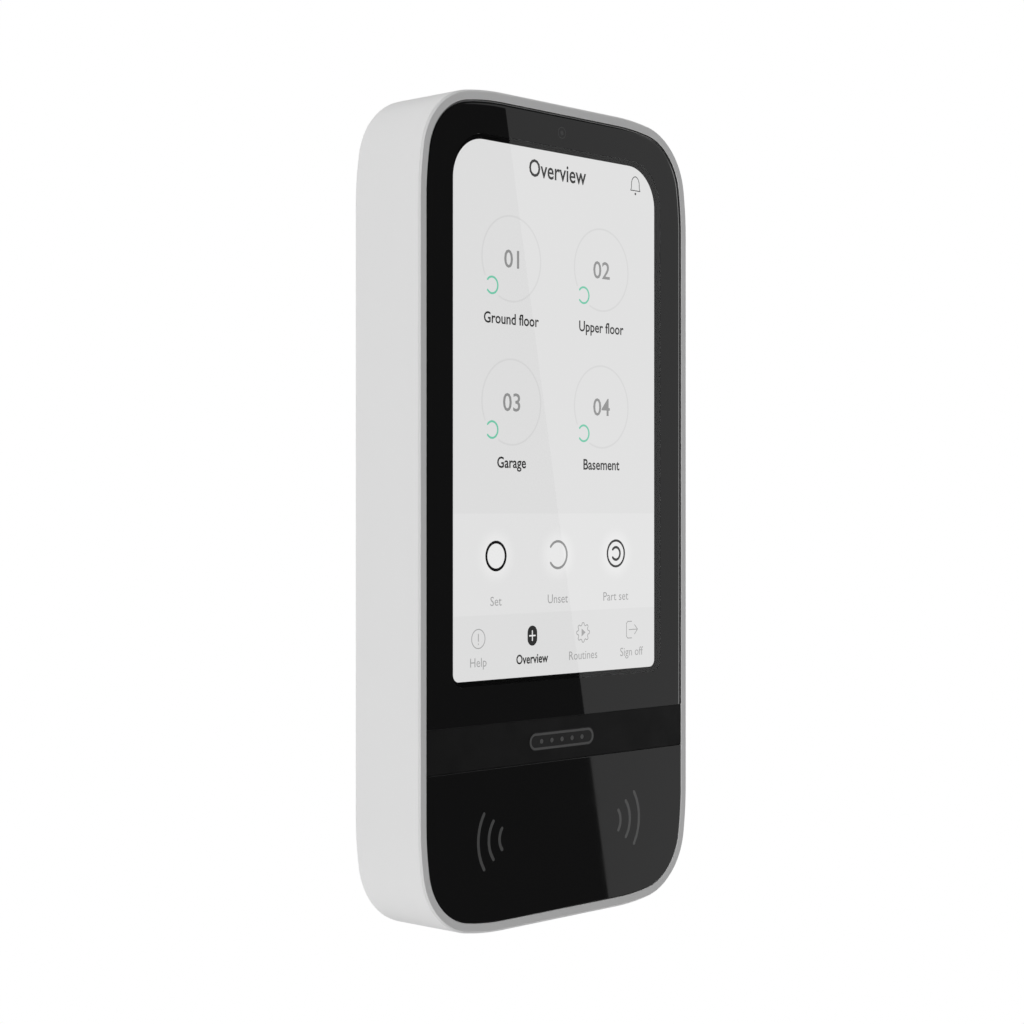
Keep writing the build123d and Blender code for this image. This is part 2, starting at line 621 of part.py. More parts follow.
def back_cover():
    """Rear cover with the battery opening, the terminal pocket and the hook slots."""
    cover = slab(case_outline(COVER_INSET), COVER_FRONT, COVER_BACK)
    cover = chamfer(front_rim(cover, COVER_BACK), COVER_CHAMFER)
    rib_inset = COVER_INSET + 6.0
    rib = case_outline(rib_inset) - case_outline(rib_inset + COVER_RIB)
    rib = slab(rib, COVER_RIB_FRONT, COVER_FRONT + 0.1)
    clear = COVER_RIB_FRONT - 1
    for x, z in BOSS_PLACES:
        rib -= rod_y(x, z, BOSS_R + 0.5, clear, COVER_FRONT)
    for x in (-HOOK_X, HOOK_X):
        for top in HOOK_STEM_TOPS:
            rib -= block(x - 5.2, x + 5.2, clear, COVER_FRONT, top - 12, top + 8)
    cover += rib - block(-12, 12, clear, COVER_FRONT, -HEIGHT, -70)
    cover -= slab(tile(-BAY_HALF_WIDTH, BAY_HALF_WIDTH, BAY_FOOT_Z, BAY_TOP_Z, 0.8), COVER_FRONT - 1, 0)

    pocket = tile(-POCKET_HALF, POCKET_HALF, POCKET_FOOT_Z, POCKET_TOP_Z, 1.5)
    half, foot, top = POCKET_HALF + POCKET_WALL, POCKET_FOOT_Z - POCKET_WALL, POCKET_TOP_Z + POCKET_WALL
    cover += slab(tile(-half, half, foot, top, 2.5), POCKET_FLOOR_Y - POCKET_WALL, COVER_FRONT + 0.1)
    cover -= slab(pocket, POCKET_FLOOR_Y, 1)
    half = TERMINAL_HALF + 1.3
    cover -= block(-half, half, -20, POCKET_FLOOR_Y + 1, SOCKET_FOOT_Z - 0.3, SOCKET_TOP_Z + 0.3)

    boss = block(-6.0, 6.0, -9.0, COVER_FRONT + 0.1, FOOT_Z + FLANGE_THICK + 0.2, -73.0)
    cover += boss
    cover -= block(-NOTCH_HALF, NOTCH_HALF, -6, 1, -HEIGHT, FOOT_Z + FLANGE_THICK + 0.2)
    cover -= rod_z(0, LOCK_Y, LOCK_SHANK_R + 0.2, FOOT_Z, FOOT_Z + LOCK_LENGTH + 1.0)
    for x in (-HOOK_X, HOOK_X):
        for top in HOOK_STEM_TOPS:
            cover -= slab(hook_slot(x, top), COVER_FRONT - 1, 0)
    cover -= rod_y(TAMPER_X, TAMPER_Z, 2.0, COVER_FRONT - 1, 0)
    cover -= rod_y(POWER_X, POWER_Z, POWER_CAP_R + 0.3, COVER_FRONT - 1, 0)
    for x, z in BOSS_PLACES:
        cover -= rod_y(x, z, SCREW_SHANK_R + 0.25, COVER_FRONT - 1, 0)
        cover -= rod_y(x, z, 2.3, COVER_BACK - 0.7, 0)
    return cover


def pan_screw(x, z, seat, head_r, head, shank_r, shank):
    """Small cross-recessed screw that enters towards the front from its seat."""
    screw = rod_y(x, z, head_r, seat, seat + head) + rod_y(x, z, shank_r, seat - shank, seat + 0.1)
    deep = seat + head * 0.5
    for dx, dz in ((0.16, head_r * 0.6), (head_r * 0.6, 0.16)):
        screw -= block(x - dx, x + dx, deep, seat + head + 1, z - dz, z + dz)
    return screw


def cover_screws():
    """Six screws through the rear cover into the shell's bosses."""
    seat = COVER_BACK - 0.7
    return [pan_screw(x, z, seat, 2.1, 0.65, SCREW_SHANK_R, 6.0) for x, z in BOSS_PLACES]


def board_screws():
    """Four screws that hold the main board to the carrier."""
    return [pan_screw(x, z, BOARD_BACK, 1.9, 1.0, 1.1, BOARD_THICK + 0.2) for x, z in BOARD_SCREW_PLACES]


# ---------------------------------------------------------------- tamper and power switches
def square(x, z, half, radius):
    """A rounded square about a centre."""
    return tile(x - half, x + half, z - half, z + half, radius)


def tamper_switch():
    """Fixed body of the tamper switch, bored for its plunger and spring."""
    body = slab(square(TAMPER_X, TAMPER_Z, TAMPER_HALF, 0.6), BOARD_BACK, SWITCH_BACK)
    body -= rod_y(TAMPER_X, TAMPER_Z, TAMPER_COLLAR_R + 0.2, BOARD_BACK + 1.0, SWITCH_BACK - 0.6)
    return body - rod_y(TAMPER_X, TAMPER_Z, TAMPER_STEM_R + 0.3, SWITCH_BACK - 1, 0)


def tamper_plunger():
    """Plunger that bears on the plate's breakaway tab."""
    stem = rod_y(TAMPER_X, TAMPER_Z, TAMPER_STEM_R, -8.0, TAMPER_TIP)
    stem = fillet(stem.edges().sort_by(Axis.Y)[-1:], 0.5)
    return stem + rod_y(TAMPER_X, TAMPER_Z, TAMPER_COLLAR_R, -7.4, SWITCH_BACK - 0.7)


def tamper_spring():
    """Coil spring under the plunger."""
    foot = BOARD_BACK + 1.15
    length = -8.15 - foot
    path = Helix(pitch=length / SPRING_TURNS, height=length, radius=TAMPER_STEM_R)
    wire = sweep(Plane(path @ 0, z_dir=path % 0) * Circle(SPRING_WIRE_R), path, is_frenet=True)
    return Pos(TAMPER_X, foot, TAMPER_Z) * Rot(-90, 0, 0) * wire


def power_switch():
    """Fixed body of the power switch."""
    body = slab(square(POWER_X, POWER_Z, POWER_HALF, 0.4), BOARD_BACK, -8.6)
    return body - rod_y(POWER_X, POWER_Z, POWER_STEM_R + 0.2, -10.6, 0)


def power_button():
    """Round button cap and its stem."""
    cap = rod_y(POWER_X, POWER_Z, POWER_CAP_R, -5.4, -2.5)
    cap = fillet(cap.edges().sort_by(Axis.Y)[-1:], 0.4)
    return cap + rod_y(POWER_X, POWER_Z, POWER_STEM_R, -9.6, -5.3)


# ---------------------------------------------------------------- wall plate and locking screw
def mounting_plate():
    """Wall plate with four hooks, a breakaway tamper tab, a cable opening and a foot flange."""
    fits_low = case_outline(PLATE_INSET)
    fits_high = Pos(0, LIFT_TRAVEL + SLIDE_GAP) * case_outline(PLATE_INSET)
    plate = slab(fits_low & fits_high, -PLATE_THICK, 0)
    plate = chamfer(front_rim(plate, -PLATE_THICK) + front_rim(plate, 0), PLATE_CHAMFER)
    plate += block(-FLANGE_HALF, FLANGE_HALF, -PLATE_THICK, 0, FOOT_Z, -70)
    flange = block(-FLANGE_HALF, FLANGE_HALF, -FLANGE_REACH, 0, FOOT_Z, FOOT_Z + FLANGE_THICK)
    plate += flange

    for x in (-HOOK_X, HOOK_X):
        for top in HOOK_STEM_TOPS:
            x0, x1 = x - HOOK_WIDTH / 2, x + HOOK_WIDTH / 2
            reach = COVER_FRONT - SLIDE_GAP - HOOK_LIP_THICK
            plate += block(x0, x1, reach, -PLATE_THICK + 0.1, top - HOOK_STEM, top)
            plate += block(x0, x1, reach, reach + HOOK_LIP_THICK, top - 0.1, top + HOOK_LIP)

    plate -= slab(tile(-POCKET_HALF, POCKET_HALF, POCKET_FOOT_Z, POCKET_TOP_Z - 2, 3.0), -10, 1)
    for x in (-WALL_HOLE_DX / 2, WALL_HOLE_DX / 2):
        for z in (-WALL_HOLE_DZ / 2, WALL_HOLE_DZ / 2):
            plate -= rod_y(x, z, WALL_HOLE_R, -5, 1)
            sink = Pos(x, -PLATE_THICK + 0.6, z) * Rot(90, 0, 0) * Cone(WALL_HOLE_R, WALL_SINK_R, 1.2)
            plate -= sink
    plate -= tamper_cut()
    plate -= knock_out_grooves()
    for x0, x1, z0, z1 in RECESSES:
        for side in (-1, 1):
            limits = sorted((side * x0, side * x1))
            plate -= slab(tile(*limits, z0, z1, RECESS_CORNER), -RECESS_DEPTH, 1)
    plate -= rod_z(0, LOCK_Y, LOCK_SHANK_R + 0.15, FOOT_Z - 1, FOOT_Z + FLANGE_THICK + 1)
    return plate - rod_z(0, LOCK_Y, LOCK_HEAD_R + 0.2, FOOT_Z - 1, FOOT_Z + LOCK_HEAD + 0.1)


def tamper_cut():
    """Slots round the breakaway tab, with four thin bridges left, and the tab's own screw hole."""
    half = TAB_HALF_WIDTH + TAB_SLOT
    outer = tile(-half, half, TAB_FOOT_Z - TAB_SLOT, TAB_TOP_Z + TAB_SLOT, 3.0)
    inner = tile(-TAB_HALF_WIDTH, TAB_HALF_WIDTH, TAB_FOOT_Z, TAB_TOP_Z, 2.0)
    cut = slab(outer - inner, -PLATE_THICK - 1, 1)
    for z in TAB_BRIDGE_Z:
        cut -= block(-20, 20, -PLATE_THICK + 0.6, 0, z - 0.6, z + 0.6)
    return cut + rod_y(0, TAB_HOLE_Z, WALL_HOLE_R, -5, 1)


def knock_out_grooves():
    """Shallow grooves in the plate's rear that mark two break-out cable ways."""
    foot, top = KNOCK_OUT_Z
    rings = []
    for x in (-KNOCK_OUT_X, KNOCK_OUT_X):
        half = KNOCK_OUT_HALF - KNOCK_OUT_GROOVE
        outer = tile(x - KNOCK_OUT_HALF, x + KNOCK_OUT_HALF, foot, top, 2.0)
        inner = tile(x - half, x + half, foot + KNOCK_OUT_GROOVE, top - KNOCK_OUT_GROOVE, 1.2)
        rings.append(slab(outer - inner, -KNOCK_OUT_DEPTH, 1))
    return rings[0] + rings[1]


def locking_screw():
    """Screw that enters from below through the flange and pins the panel down."""
    head = rod_z(0, LOCK_Y, LOCK_HEAD_R, FOOT_Z + 0.05, FOOT_Z + LOCK_HEAD)
    shank = rod_z(0, LOCK_Y, LOCK_SHANK_R, FOOT_Z + LOCK_HEAD - 0.1, FOOT_Z + LOCK_LENGTH)
    screw = head + chamfer(shank.edges().sort_by(Axis.Z)[-1:], 0.4)
    recess = Pos(0, LOCK_Y, FOOT_Z + 0.5) * extrude(RegularPolygon(1.1, 6), amount=1.2, both=True)
    return screw - recess


# ---------------------------------------------------------------- every node
NODES = {
    "outer_frame": outer_frame(),
    "front_carrier": front_carrier(),
    "cover_glass": cover_glass(),
    "indicator_bar": indicator_bar(),
    "indicator_lens": indicator_lens(),
    "reader_cover": reader_cover(),
    "touch_sensor": display_layer(PANEL_WIDTH, PANEL_HEIGHT, GLASS_BACK, TOUCH_BACK),
    "display_panel": display_layer(PANEL_WIDTH, PANEL_HEIGHT, TOUCH_BACK, LCD_BACK),
    "backlight_unit": display_layer(PANEL_WIDTH, PANEL_HEIGHT, LCD_BACK, BACKLIGHT_BACK),
    "display_tray": display_tray(),
    "display_gasket": display_gasket(),
    "display_flex": display_flex(),
    "reader_board": reader_board(),
    "reader_coil": reader_coil(),
    "reader_chip": reader_chip(),
    "led_board": led_board(),
    "indicator_leds": indicator_leds(),
    "main_board": main_board(),
    "shield_cans": shield_cans(),
    "board_chips": board_chips(),
    "board_connectors": board_connectors(),
    "power_flex": power_flex(),
    "proximity_sensor": proximity_sensor(),
    "radio_antenna": radio_antenna(),
    "power_board": power_board(),
    "buzzer": buzzer(),
    "terminal_socket": terminal_socket(),
    "terminal_pins": terminal_pins(),
    "terminal_plug": terminal_plug(),
    "terminal_screws": terminal_screws(),
    "battery_holder": battery_holder(),
    "battery_contacts": battery_contacts(),
    "battery_springs": battery_springs(),
    "back_cover": back_cover(),
    "cover_screws": cover_screws(),
    "board_screws": board_screws(),
    "tamper_switch": tamper_switch(),
    "tamper_plunger": tamper_plunger(),
    "tamper_spring": tamper_spring(),
    "power_switch": power_switch(),
    "power_button": power_button(),
    "mounting_plate": mounting_plate(),
    "locking_screw": locking_screw(),
}
for number in range(CELL_COUNT):
    NODES[f"battery_cell_{number + 1}"] = battery_cell(number)

os.makedirs("parts", exist_ok=True)
for name, solid in NODES.items():
    shape = Compound(children=solid) if isinstance(solid, list) else solid
    export_step(shape, f"parts/{name}.step")
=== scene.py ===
import json
import math

import bmesh
import bpy
from mathutils import Matrix, Vector


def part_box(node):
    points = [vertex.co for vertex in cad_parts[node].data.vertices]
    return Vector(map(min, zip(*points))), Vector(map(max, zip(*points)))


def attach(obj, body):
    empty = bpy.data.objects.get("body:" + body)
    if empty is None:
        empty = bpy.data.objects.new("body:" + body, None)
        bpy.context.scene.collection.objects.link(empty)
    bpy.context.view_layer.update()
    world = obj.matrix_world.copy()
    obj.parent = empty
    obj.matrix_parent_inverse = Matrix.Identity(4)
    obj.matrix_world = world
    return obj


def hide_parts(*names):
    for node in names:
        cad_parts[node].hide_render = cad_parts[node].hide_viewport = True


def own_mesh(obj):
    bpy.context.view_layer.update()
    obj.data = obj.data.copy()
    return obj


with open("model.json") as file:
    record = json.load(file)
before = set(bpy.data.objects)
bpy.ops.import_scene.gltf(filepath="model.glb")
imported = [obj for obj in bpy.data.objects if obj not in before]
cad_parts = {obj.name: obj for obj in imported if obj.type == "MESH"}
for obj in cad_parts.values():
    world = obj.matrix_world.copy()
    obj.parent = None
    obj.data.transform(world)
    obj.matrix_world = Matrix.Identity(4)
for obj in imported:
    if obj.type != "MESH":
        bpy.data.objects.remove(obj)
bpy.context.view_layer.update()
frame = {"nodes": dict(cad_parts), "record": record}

# Looks of the alarm keypad panel. Lengths are in millimetres until a mesh is made.
# Every outline is drawn in x (right) and z (up); y is depth, and the front faces -y.

MM = 0.001
NODES = frame["nodes"]
PANEL_BODY = "keypad"


def box_mm(node):
    """Lowest and highest corner of a CAD node, in millimetres."""
    low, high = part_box(node)
    return low / MM, high / MM


# ---------------------------------------------------------------- sizes, from the frame
SHELL_LOW, SHELL_HIGH = box_mm("outer_frame")
GLASS_LOW, GLASS_HIGH = box_mm("cover_glass")
TOUCH_HIGH = box_mm("touch_sensor")[1]
PANEL_LOW, PANEL_HIGH = box_mm("display_panel")
BAR_LOW, BAR_HIGH = box_mm("indicator_bar")
READER_LOW, READER_HIGH = box_mm("reader_cover")
LENS_LOW, LENS_HIGH = box_mm("indicator_lens")
SENSOR_LOW, SENSOR_HIGH = box_mm("proximity_sensor")

CORNER = 24.0              # reach of the shell's corners along each edge
CORNER_SWEEP = 9.2         # degrees turned by the shallow arc at each end of a corner
CORNER_SHALLOW = 2.764     # radius of that arc, in corner reaches
SHALLOW_STEPS = 5
TIGHT_STEPS = 26
SMALL_CORNER = 0.3         # reach of the corners beside the bar
SHELL_WALL = 2.0
EDGE_ROUND = 0.45          # round at the shell's rear
EDGE_FACET = 0.42          # facet at the shell's front
FACET_ROUND = 0.07         # round at both ends of the facet
RIM_ROUND = 0.08           # round at the shell's inner edges
LEDGE = (4.2, -13.7, -12.3)    # inset, front and back of the ledge inside the shell
NOTCH_HALF = 10.35         # notch in the shell's foot, for the plate's flange
NOTCH_RISE = 2.1
NOTCH_GAP = 0.3            # in front of the flange
PORT_X, PORT_Y = 13.0, -9.0    # first of the sound holes in the shell's foot
PORT_STEP = 2.2
PORT_COUNT = 3
PORT_RADIUS = 0.6
PORT_DEPTH = 3.0
CUT_PAST = 1.0             # the cutters run this far out of the shell

CASE = (SHELL_LOW.x, SHELL_HIGH.x, SHELL_LOW.z, SHELL_HIGH.z)
GLASS_INSET = SHELL_HIGH.x - GLASS_HIGH.x
GLASS_GAP = GLASS_INSET - SHELL_WALL
GLASS_FRONT = GLASS_LOW.y
GLASS_SHRINK = 0.2         # the glass is drawn this much inside the CAD's, for the bed and the lining
GLASS_ROUND = 1.6          # the glass rim curves down to this radius
GLASS_TILT = 25            # until it slopes by this many degrees
LINING = (0.02, 0.07)      # black lining of the shell's inner wall, which paints the shade in the gap beside the glass; inset from its face
LINING_DEPTH = 0.1         # below the shell's rim
# Painted shade: the lining's dark tone stands in for shade in the gap round the glass.
LINING_SHADE = 0.05
BED_DEPTH = 0.38           # grey bed of the glass, below the shell's rim; its grey paints white plastic in shade
# Painted shade: the bed's grey stands in for white plastic in shade at the bottom of the gap.
BED_SHADE = 0.45
BED_OVERLAP = 0.01         # the bed reaches this far under the glass
LINING_FOOT = (-0.07, -0.03)   # outer and inner foot edge of the lining and the bed, from the glass's
PANE_MARGIN = 1.0          # the pane runs this far past the lit window
PANE_FIT = 0.004           # clearance between the pane and what surrounds it
SLEEVE = 0.04              # black edging round the pane, just under its front
PRINT_FRONT = GLASS_HIGH.y - 0.05      # black print on the rear of the glass, inside its last layer
PRINT_BACK = GLASS_HIGH.y - 0.01

WINDOW = (-31.74, 31.74, -34.45, 75.95)
WINDOW_TOP_CORNER = 8.8
WINDOW_FOOT_CORNER = 1.6
SCREEN_Y = PANEL_LOW.y - 0.1           # the screen is bonded this far into the touch layer
SUPPORT = 0.05             # from the end of a round to the first line of the flat beside it
LONG_RUN = 6 * SUPPORT     # a shorter straight run gets no such lines
LAYER = 0.012              # step between the layers drawn on the screen
TILE = 0.01                # thickness of the flat marks
BAR_ROUND = 0.08           # round at the rim of the bar
COVER_ROUND = 0.12         # and of the reader cover
SCREEN_FIT = 0.15          # the lit screen is drawn this far inside the CAD's
SCREEN_CORNER = 0.5
MERGE = 1e-8               # points closer than this are one point, in metres
SHARP = 32.0               # an edge that turns by more than this many degrees stays sharp
GLASS_SHARP = 40.0


# ---------------------------------------------------------------- outlines
def corner_steps(reach, inset, soft):
    """Distances in from the side and the top of a corner, from the side round to the top.

    A plain corner is one arc. A soft one is three: a tight arc between two shallow ones.
    """
    if not soft:
        count = 2 * SHALLOW_STEPS + TIGHT_STEPS
        angles = [math.pi / 2 * step / count for step in range(count + 1)]
        radius = reach - inset
        return [(reach - radius * math.cos(a), reach - radius * math.sin(a)) for a in angles]
    turn = math.radians(CORNER_SWEEP)
    shallow = CORNER_SHALLOW * reach
    share = math.sin(turn) + 1 - math.cos(turn)
    tight = (reach - shallow * share) / (math.cos(turn) - math.sin(turn))
    shift = shallow - tight
    middle = (shallow - shift * math.cos(turn), reach - shift * math.sin(turn))
    arcs = [
        ((shallow, reach), shallow, 0, turn, SHALLOW_STEPS),
        (middle, tight, turn, math.pi / 2 - turn, TIGHT_STEPS),
        ((reach, shallow), shallow, math.pi / 2 - turn, math.pi / 2, SHALLOW_STEPS),
    ]
    points = []
    for (across, down), radius, start, end, steps in arcs:
        for step in range(1 if points else 0, steps + 1):
            angle = start + (end - start) * step / steps
            reduced = radius - inset
            points.append((across - reduced * math.cos(angle), down - reduced * math.sin(angle)))
    return points


def outline(limits, inset, top, foot):
    """Closed outline inside four limits. top and foot are (corner reach, soft corner or plain round)."""
    left, right, low, high = limits
    upper = corner_steps(top[0], inset, top[1])
    lower = corner_steps(foot[0], inset, foot[1])
    points = [(right - x, high - z) for x, z in upper]
    points += [(left + x, high - z) for x, z in reversed(upper)]
    points += [(left + x, low + z) for x, z in lower]
    points += [(right - x, low + z) for x, z in reversed(lower)]
    return points


def case_outline(inset):
    return outline(CASE, inset, (CORNER, True), (CORNER, True))


def glass_outline(inset, foot_shift=0.0):
    """The cover glass moved inwards at its sides and top. Its foot moves by foot_shift only."""
    inset += GLASS_INSET + GLASS_SHRINK
    limits = (CASE[0], CASE[1], GLASS_LOW.z + foot_shift - inset, CASE[3])
    return outline(limits, inset, (CORNER, True), (inset + SMALL_CORNER, False))


def window_outline(inset):
    return outline(WINDOW, inset, (WINDOW_TOP_CORNER, False), (WINDOW_FOOT_CORNER, False))


def arc(centre, radius, start, end, steps):
    """Points along an arc, in degrees."""
    angles = [math.radians(start + (end - start) * step / steps) for step in range(steps + 1)]
    return [(centre[0] + radius * math.cos(a), centre[1] + radius * math.sin(a)) for a in angles]


# ---------------------------------------------------------------- mesh making
RING_POINTS = 72           # round a whole ring
TIP_STEPS = 6              # round the end of a stroke
BAND_STEPS = 12            # along an arc, at least
BAND_TURN = 5              # or one for each turn of this many degrees


def place(point, y):
    return Vector((point[0] * MM, y * MM, point[1] * MM))


def shade(mesh, sharp=SHARP):
    mesh.shade_smooth()
    mesh.set_sharp_from_angle(angle=math.radians(sharp))


def link_object(name, data):
    obj = bpy.data.objects.new(name, data)
    bpy.context.scene.collection.objects.link(obj)
    return obj


def mesh_from(name, bm):
    """A mesh from a bmesh, which is used up."""
    mesh = bpy.data.meshes.new(name)
    bm.to_mesh(mesh)
    bm.free()
    return mesh


def make_object(name, bm, sharp=SHARP, location=(0, 0, 0)):
    """A piece of the panel from a bmesh, with outward normals and smooth shading."""
    bmesh.ops.remove_doubles(bm, verts=bm.verts, dist=MERGE)
    bmesh.ops.recalc_face_normals(bm, faces=bm.faces)
    mesh = mesh_from(name, bm)
    shade(mesh, sharp)
    obj = link_object(name, mesh)
    obj.location = location
    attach(obj, PANEL_BODY)
    return obj


def join_rings(bm, first, second):
    """Faces between two rings with the same number of vertices."""
    for i in range(len(first)):
        j = (i + 1) % len(first)
        bm.faces.new((first[i], first[j], second[j], second[i]))


def cap_ends(bm, first, last):
    bm.faces.new(first)
    bm.faces.new(list(reversed(last)))


def skin(bm, loops, closed=False):
    """Skin between outlines with the same number of points. Each loop is (points, y)."""
    rings = [[bm.verts.new(place(point, y)) for point in points] for points, y in loops]
    pairs = list(zip(rings, rings[1:]))
    if closed:
        pairs.append((rings[-1], rings[0]))
    for first, second in pairs:
        join_rings(bm, first, second)
    if not closed:
        cap_ends(bm, rings[0], rings[-1])


def ring_solid(bm, outer, inner, front, back):
    """A flat solid ring between two outlines."""
    skin(bm, [(outer, back), (outer, front), (inner, front), (inner, back)], closed=True)


def plate_solid(bm, outline_of, front, back, rounding=0.0):
    """A solid plate between two depths, its front rim rounded by a quarter arc."""
    profile = [(SUPPORT, back), (0.0, back), (0.0, front)]
    if rounding:
        profile[-1:] = arc((rounding, front + rounding), rounding, 180, 270, 3)
    profile.append((rounding + SUPPORT, front))
    skin(bm, [(outline_of(inset), y) for inset, y in supported(profile)])


def supported(profile, closed=False):
    """Adds a point near both ends of each long straight run, so that flats stay flat beside rounds."""
    points = []
    pairs = list(zip(profile, profile[1:] + profile[:1] if closed else profile[1:]))
    for (i0, y0), (i1, y1) in pairs:
        points.append((i0, y0))
        length = math.hypot(i1 - i0, y1 - y0)
        if length > LONG_RUN:
            share = SUPPORT / length
            points.append((i0 + (i1 - i0) * share, y0 + (y1 - y0) * share))
            points.append((i1 + (i0 - i1) * share, y1 + (y0 - y1) * share))
    return points if closed else points + [profile[-1]]


def flat_shape(bm, points, front, thickness=TILE):
    """A thin flat tile with any outline."""
    skin(bm, [(points, front + thickness), (points, front)])


def disc_points(x, z, radius, count):
    angles = [2 * math.pi * i / count for i in range(count)]
    return [(x + radius * math.cos(angle), z + radius * math.sin(angle)) for angle in angles]


def whole_ring(bm, x, z, radius, width, front):
    """A flat ring of even width."""
    outer = disc_points(x, z, radius + width / 2, RING_POINTS)
    inner = disc_points(x, z, radius - width / 2, RING_POINTS)
    ring_solid(bm, outer, inner, front, front + TILE)


def ring_band(bm, x, z, radius, width, start, end, front):
    """A flat arc of even width with rounded ends, from one angle to another in degrees."""
    steps = max(BAND_STEPS, int((end - start) / BAND_TURN))

    def tip(angle, turned):
        middle = arc((x, z), radius, angle, angle, 1)[0]
        return arc(middle, width / 2, turned, turned + 180, TIP_STEPS)[1:-1]

    points = arc((x, z), radius + width / 2, start, end, steps) + tip(end, end)
    points += arc((x, z), radius - width / 2, end, start, steps) + tip(start, start + 180)
    flat_shape(bm, points, front)


def stroke(bm, points, width, front):
    """Straight strokes of even width with round ends, one after another."""
    for (x0, z0), (x1, z1) in zip(points, points[1:]):
        heading = math.degrees(math.atan2(z1 - z0, x1 - x0))
        capsule = arc((x1, z1), width / 2, heading - 90, heading + 90, TIP_STEPS)
        capsule += arc((x0, z0), width / 2, heading + 90, heading + 270, TIP_STEPS)
        flat_shape(bm, capsule, front)


# ---------------------------------------------------------------- lettering
CAP_HEIGHT = 0.7           # of the built-in font, for a size of 1
LETTER_HALF = TILE / 2     # half the thickness of a letter


def add_text(bm, text, x, baseline, front, style):
    """One line of plain text, centred on x.

    Its style is the capital height, the weight, which is how far each outline is moved out for a
    size of 1, and the squeeze, which is the width as a share of the font's own.
    """
    cap_height, weight, squeeze = style
    curve = bpy.data.curves.new("lettering", "FONT")
    curve.body = text
    curve.align_x = "CENTER"
    curve.size = 1.0
    curve.offset = weight
    curve.resolution_u = 3
    curve.extrude = LETTER_HALF
    holder = link_object("lettering", curve)
    bpy.context.view_layer.update()
    mesh = bpy.data.meshes.new_from_object(holder)
    across = [v.co.x for v in mesh.vertices]
    middle = (max(across) + min(across)) / 2
    size = cap_height / CAP_HEIGHT
    for v in mesh.vertices:
        at = (x + (v.co.x - middle) * size * squeeze, baseline + v.co.y * size)
        v.co = place(at, front + LETTER_HALF - v.co.z)
    bm.from_mesh(mesh)
    bpy.data.objects.remove(holder)
    bpy.data.curves.remove(curve)
    bpy.data.meshes.remove(mesh)


# ---------------------------------------------------------------- materials
NOISE_SPAN = (0.3, 0.7)    # most of a noise lies between these
WEAR_LEAN = (0.98, 0.80)   # from unworn to fully worn, as the cosine between soft and true normal
WEAR_PATCH = 8             # size of the patches of wear, in reaches of the wear
WEAR_LEAST = 0.25          # wear left between the patches
ROUGH_PATCH = 0.4          # size of the patches of roughness, in sizes of the colour drift
UNLIT = (0.002, 0.002, 0.002, 1)       # what a lit surface reflects
GLOW_CORE = 0.4            # share of a glow's radius where it starts to fade
POLISH = 0.004             # roughness of the clear glass, at most
POLISH_MM = 20.0
BACKLIGHT_MM = 30.0        # size of the backlight's uneven patches


def srgb(value):
    """Linear value of an 8-bit grey."""
    c = value / 255
    return c / 12.92 if c <= 0.04045 else ((c + 0.055) / 1.055) ** 2.4


def grey(value):
    return (srgb(value),) * 3


def scaled(colour, factor):
    return tuple(min(1.0, c * factor) for c in colour)


def new_material(name):
    material = bpy.data.materials.new(name)
    material.use_nodes = True
    tree = material.node_tree
    shader = tree.nodes["Principled BSDF"]
    coords = tree.nodes.new("ShaderNodeTexCoord")
    return material, tree, shader, coords.outputs["Object"]


def noise(tree, vector, feature_mm, detail=3.0):
    """Noise whose features are about this size."""
    node = tree.nodes.new("ShaderNodeTexNoise")
    node.inputs["Scale"].default_value = 1 / (feature_mm * MM)
    node.inputs["Detail"].default_value = detail
    tree.links.new(vector, node.inputs["Vector"])
    return node.outputs["Fac"]


def blend_colours(tree, factor, low, high):
    mix = tree.nodes.new("ShaderNodeMix")
    mix.data_type = "RGBA"
    mix.inputs["A"].default_value = (*low, 1)
    mix.inputs["B"].default_value = (*high, 1)
    tree.links.new(factor, mix.inputs["Factor"])
    return mix.outputs["Result"]


def blend_values(tree, factor, low, high):
    """From low to high, as a noise goes from its low to its high values."""
    node = tree.nodes.new("ShaderNodeMapRange")
    node.inputs["From Min"].default_value, node.inputs["From Max"].default_value = NOISE_SPAN
    node.inputs["To Min"].default_value = low
    node.inputs["To Max"].default_value = high
    tree.links.new(factor, node.inputs["Value"])
    return node.outputs["Result"]


def add_bump(tree, shader, height, depth_mm):
    bump = tree.nodes.new("ShaderNodeBump")
    bump.inputs["Distance"].default_value = depth_mm * MM
    bump.inputs["Strength"].default_value = 1.0
    tree.links.new(height, bump.inputs["Height"])
    tree.links.new(bump.outputs["Normal"], shader.inputs["Normal"])


def edge_wear(tree, coords, reach_mm):
    """Patchy mask of the edges, where a softened normal leans away from the true one."""
    soft = tree.nodes.new("ShaderNodeBevel")
    soft.samples = 6
    soft.inputs["Radius"].default_value = reach_mm * MM
    true = tree.nodes.new("ShaderNodeNewGeometry")
    match = tree.nodes.new("ShaderNodeVectorMath")
    match.operation = "DOT_PRODUCT"
    tree.links.new(soft.outputs["Normal"], match.inputs[0])
    tree.links.new(true.outputs["Normal"], match.inputs[1])
    lean = tree.nodes.new("ShaderNodeMapRange")
    lean.inputs["From Min"].default_value, lean.inputs["From Max"].default_value = WEAR_LEAN
    tree.links.new(match.outputs["Value"], lean.inputs["Value"])
    patchy = tree.nodes.new("ShaderNodeMath")
    patchy.operation = "MULTIPLY"
    tree.links.new(lean.outputs["Result"], patchy.inputs[0])
    patches = noise(tree, coords, WEAR_PATCH * reach_mm)
    tree.links.new(blend_values(tree, patches, WEAR_LEAST, 1.0), patchy.inputs[1])
    return patchy.outputs["Value"]


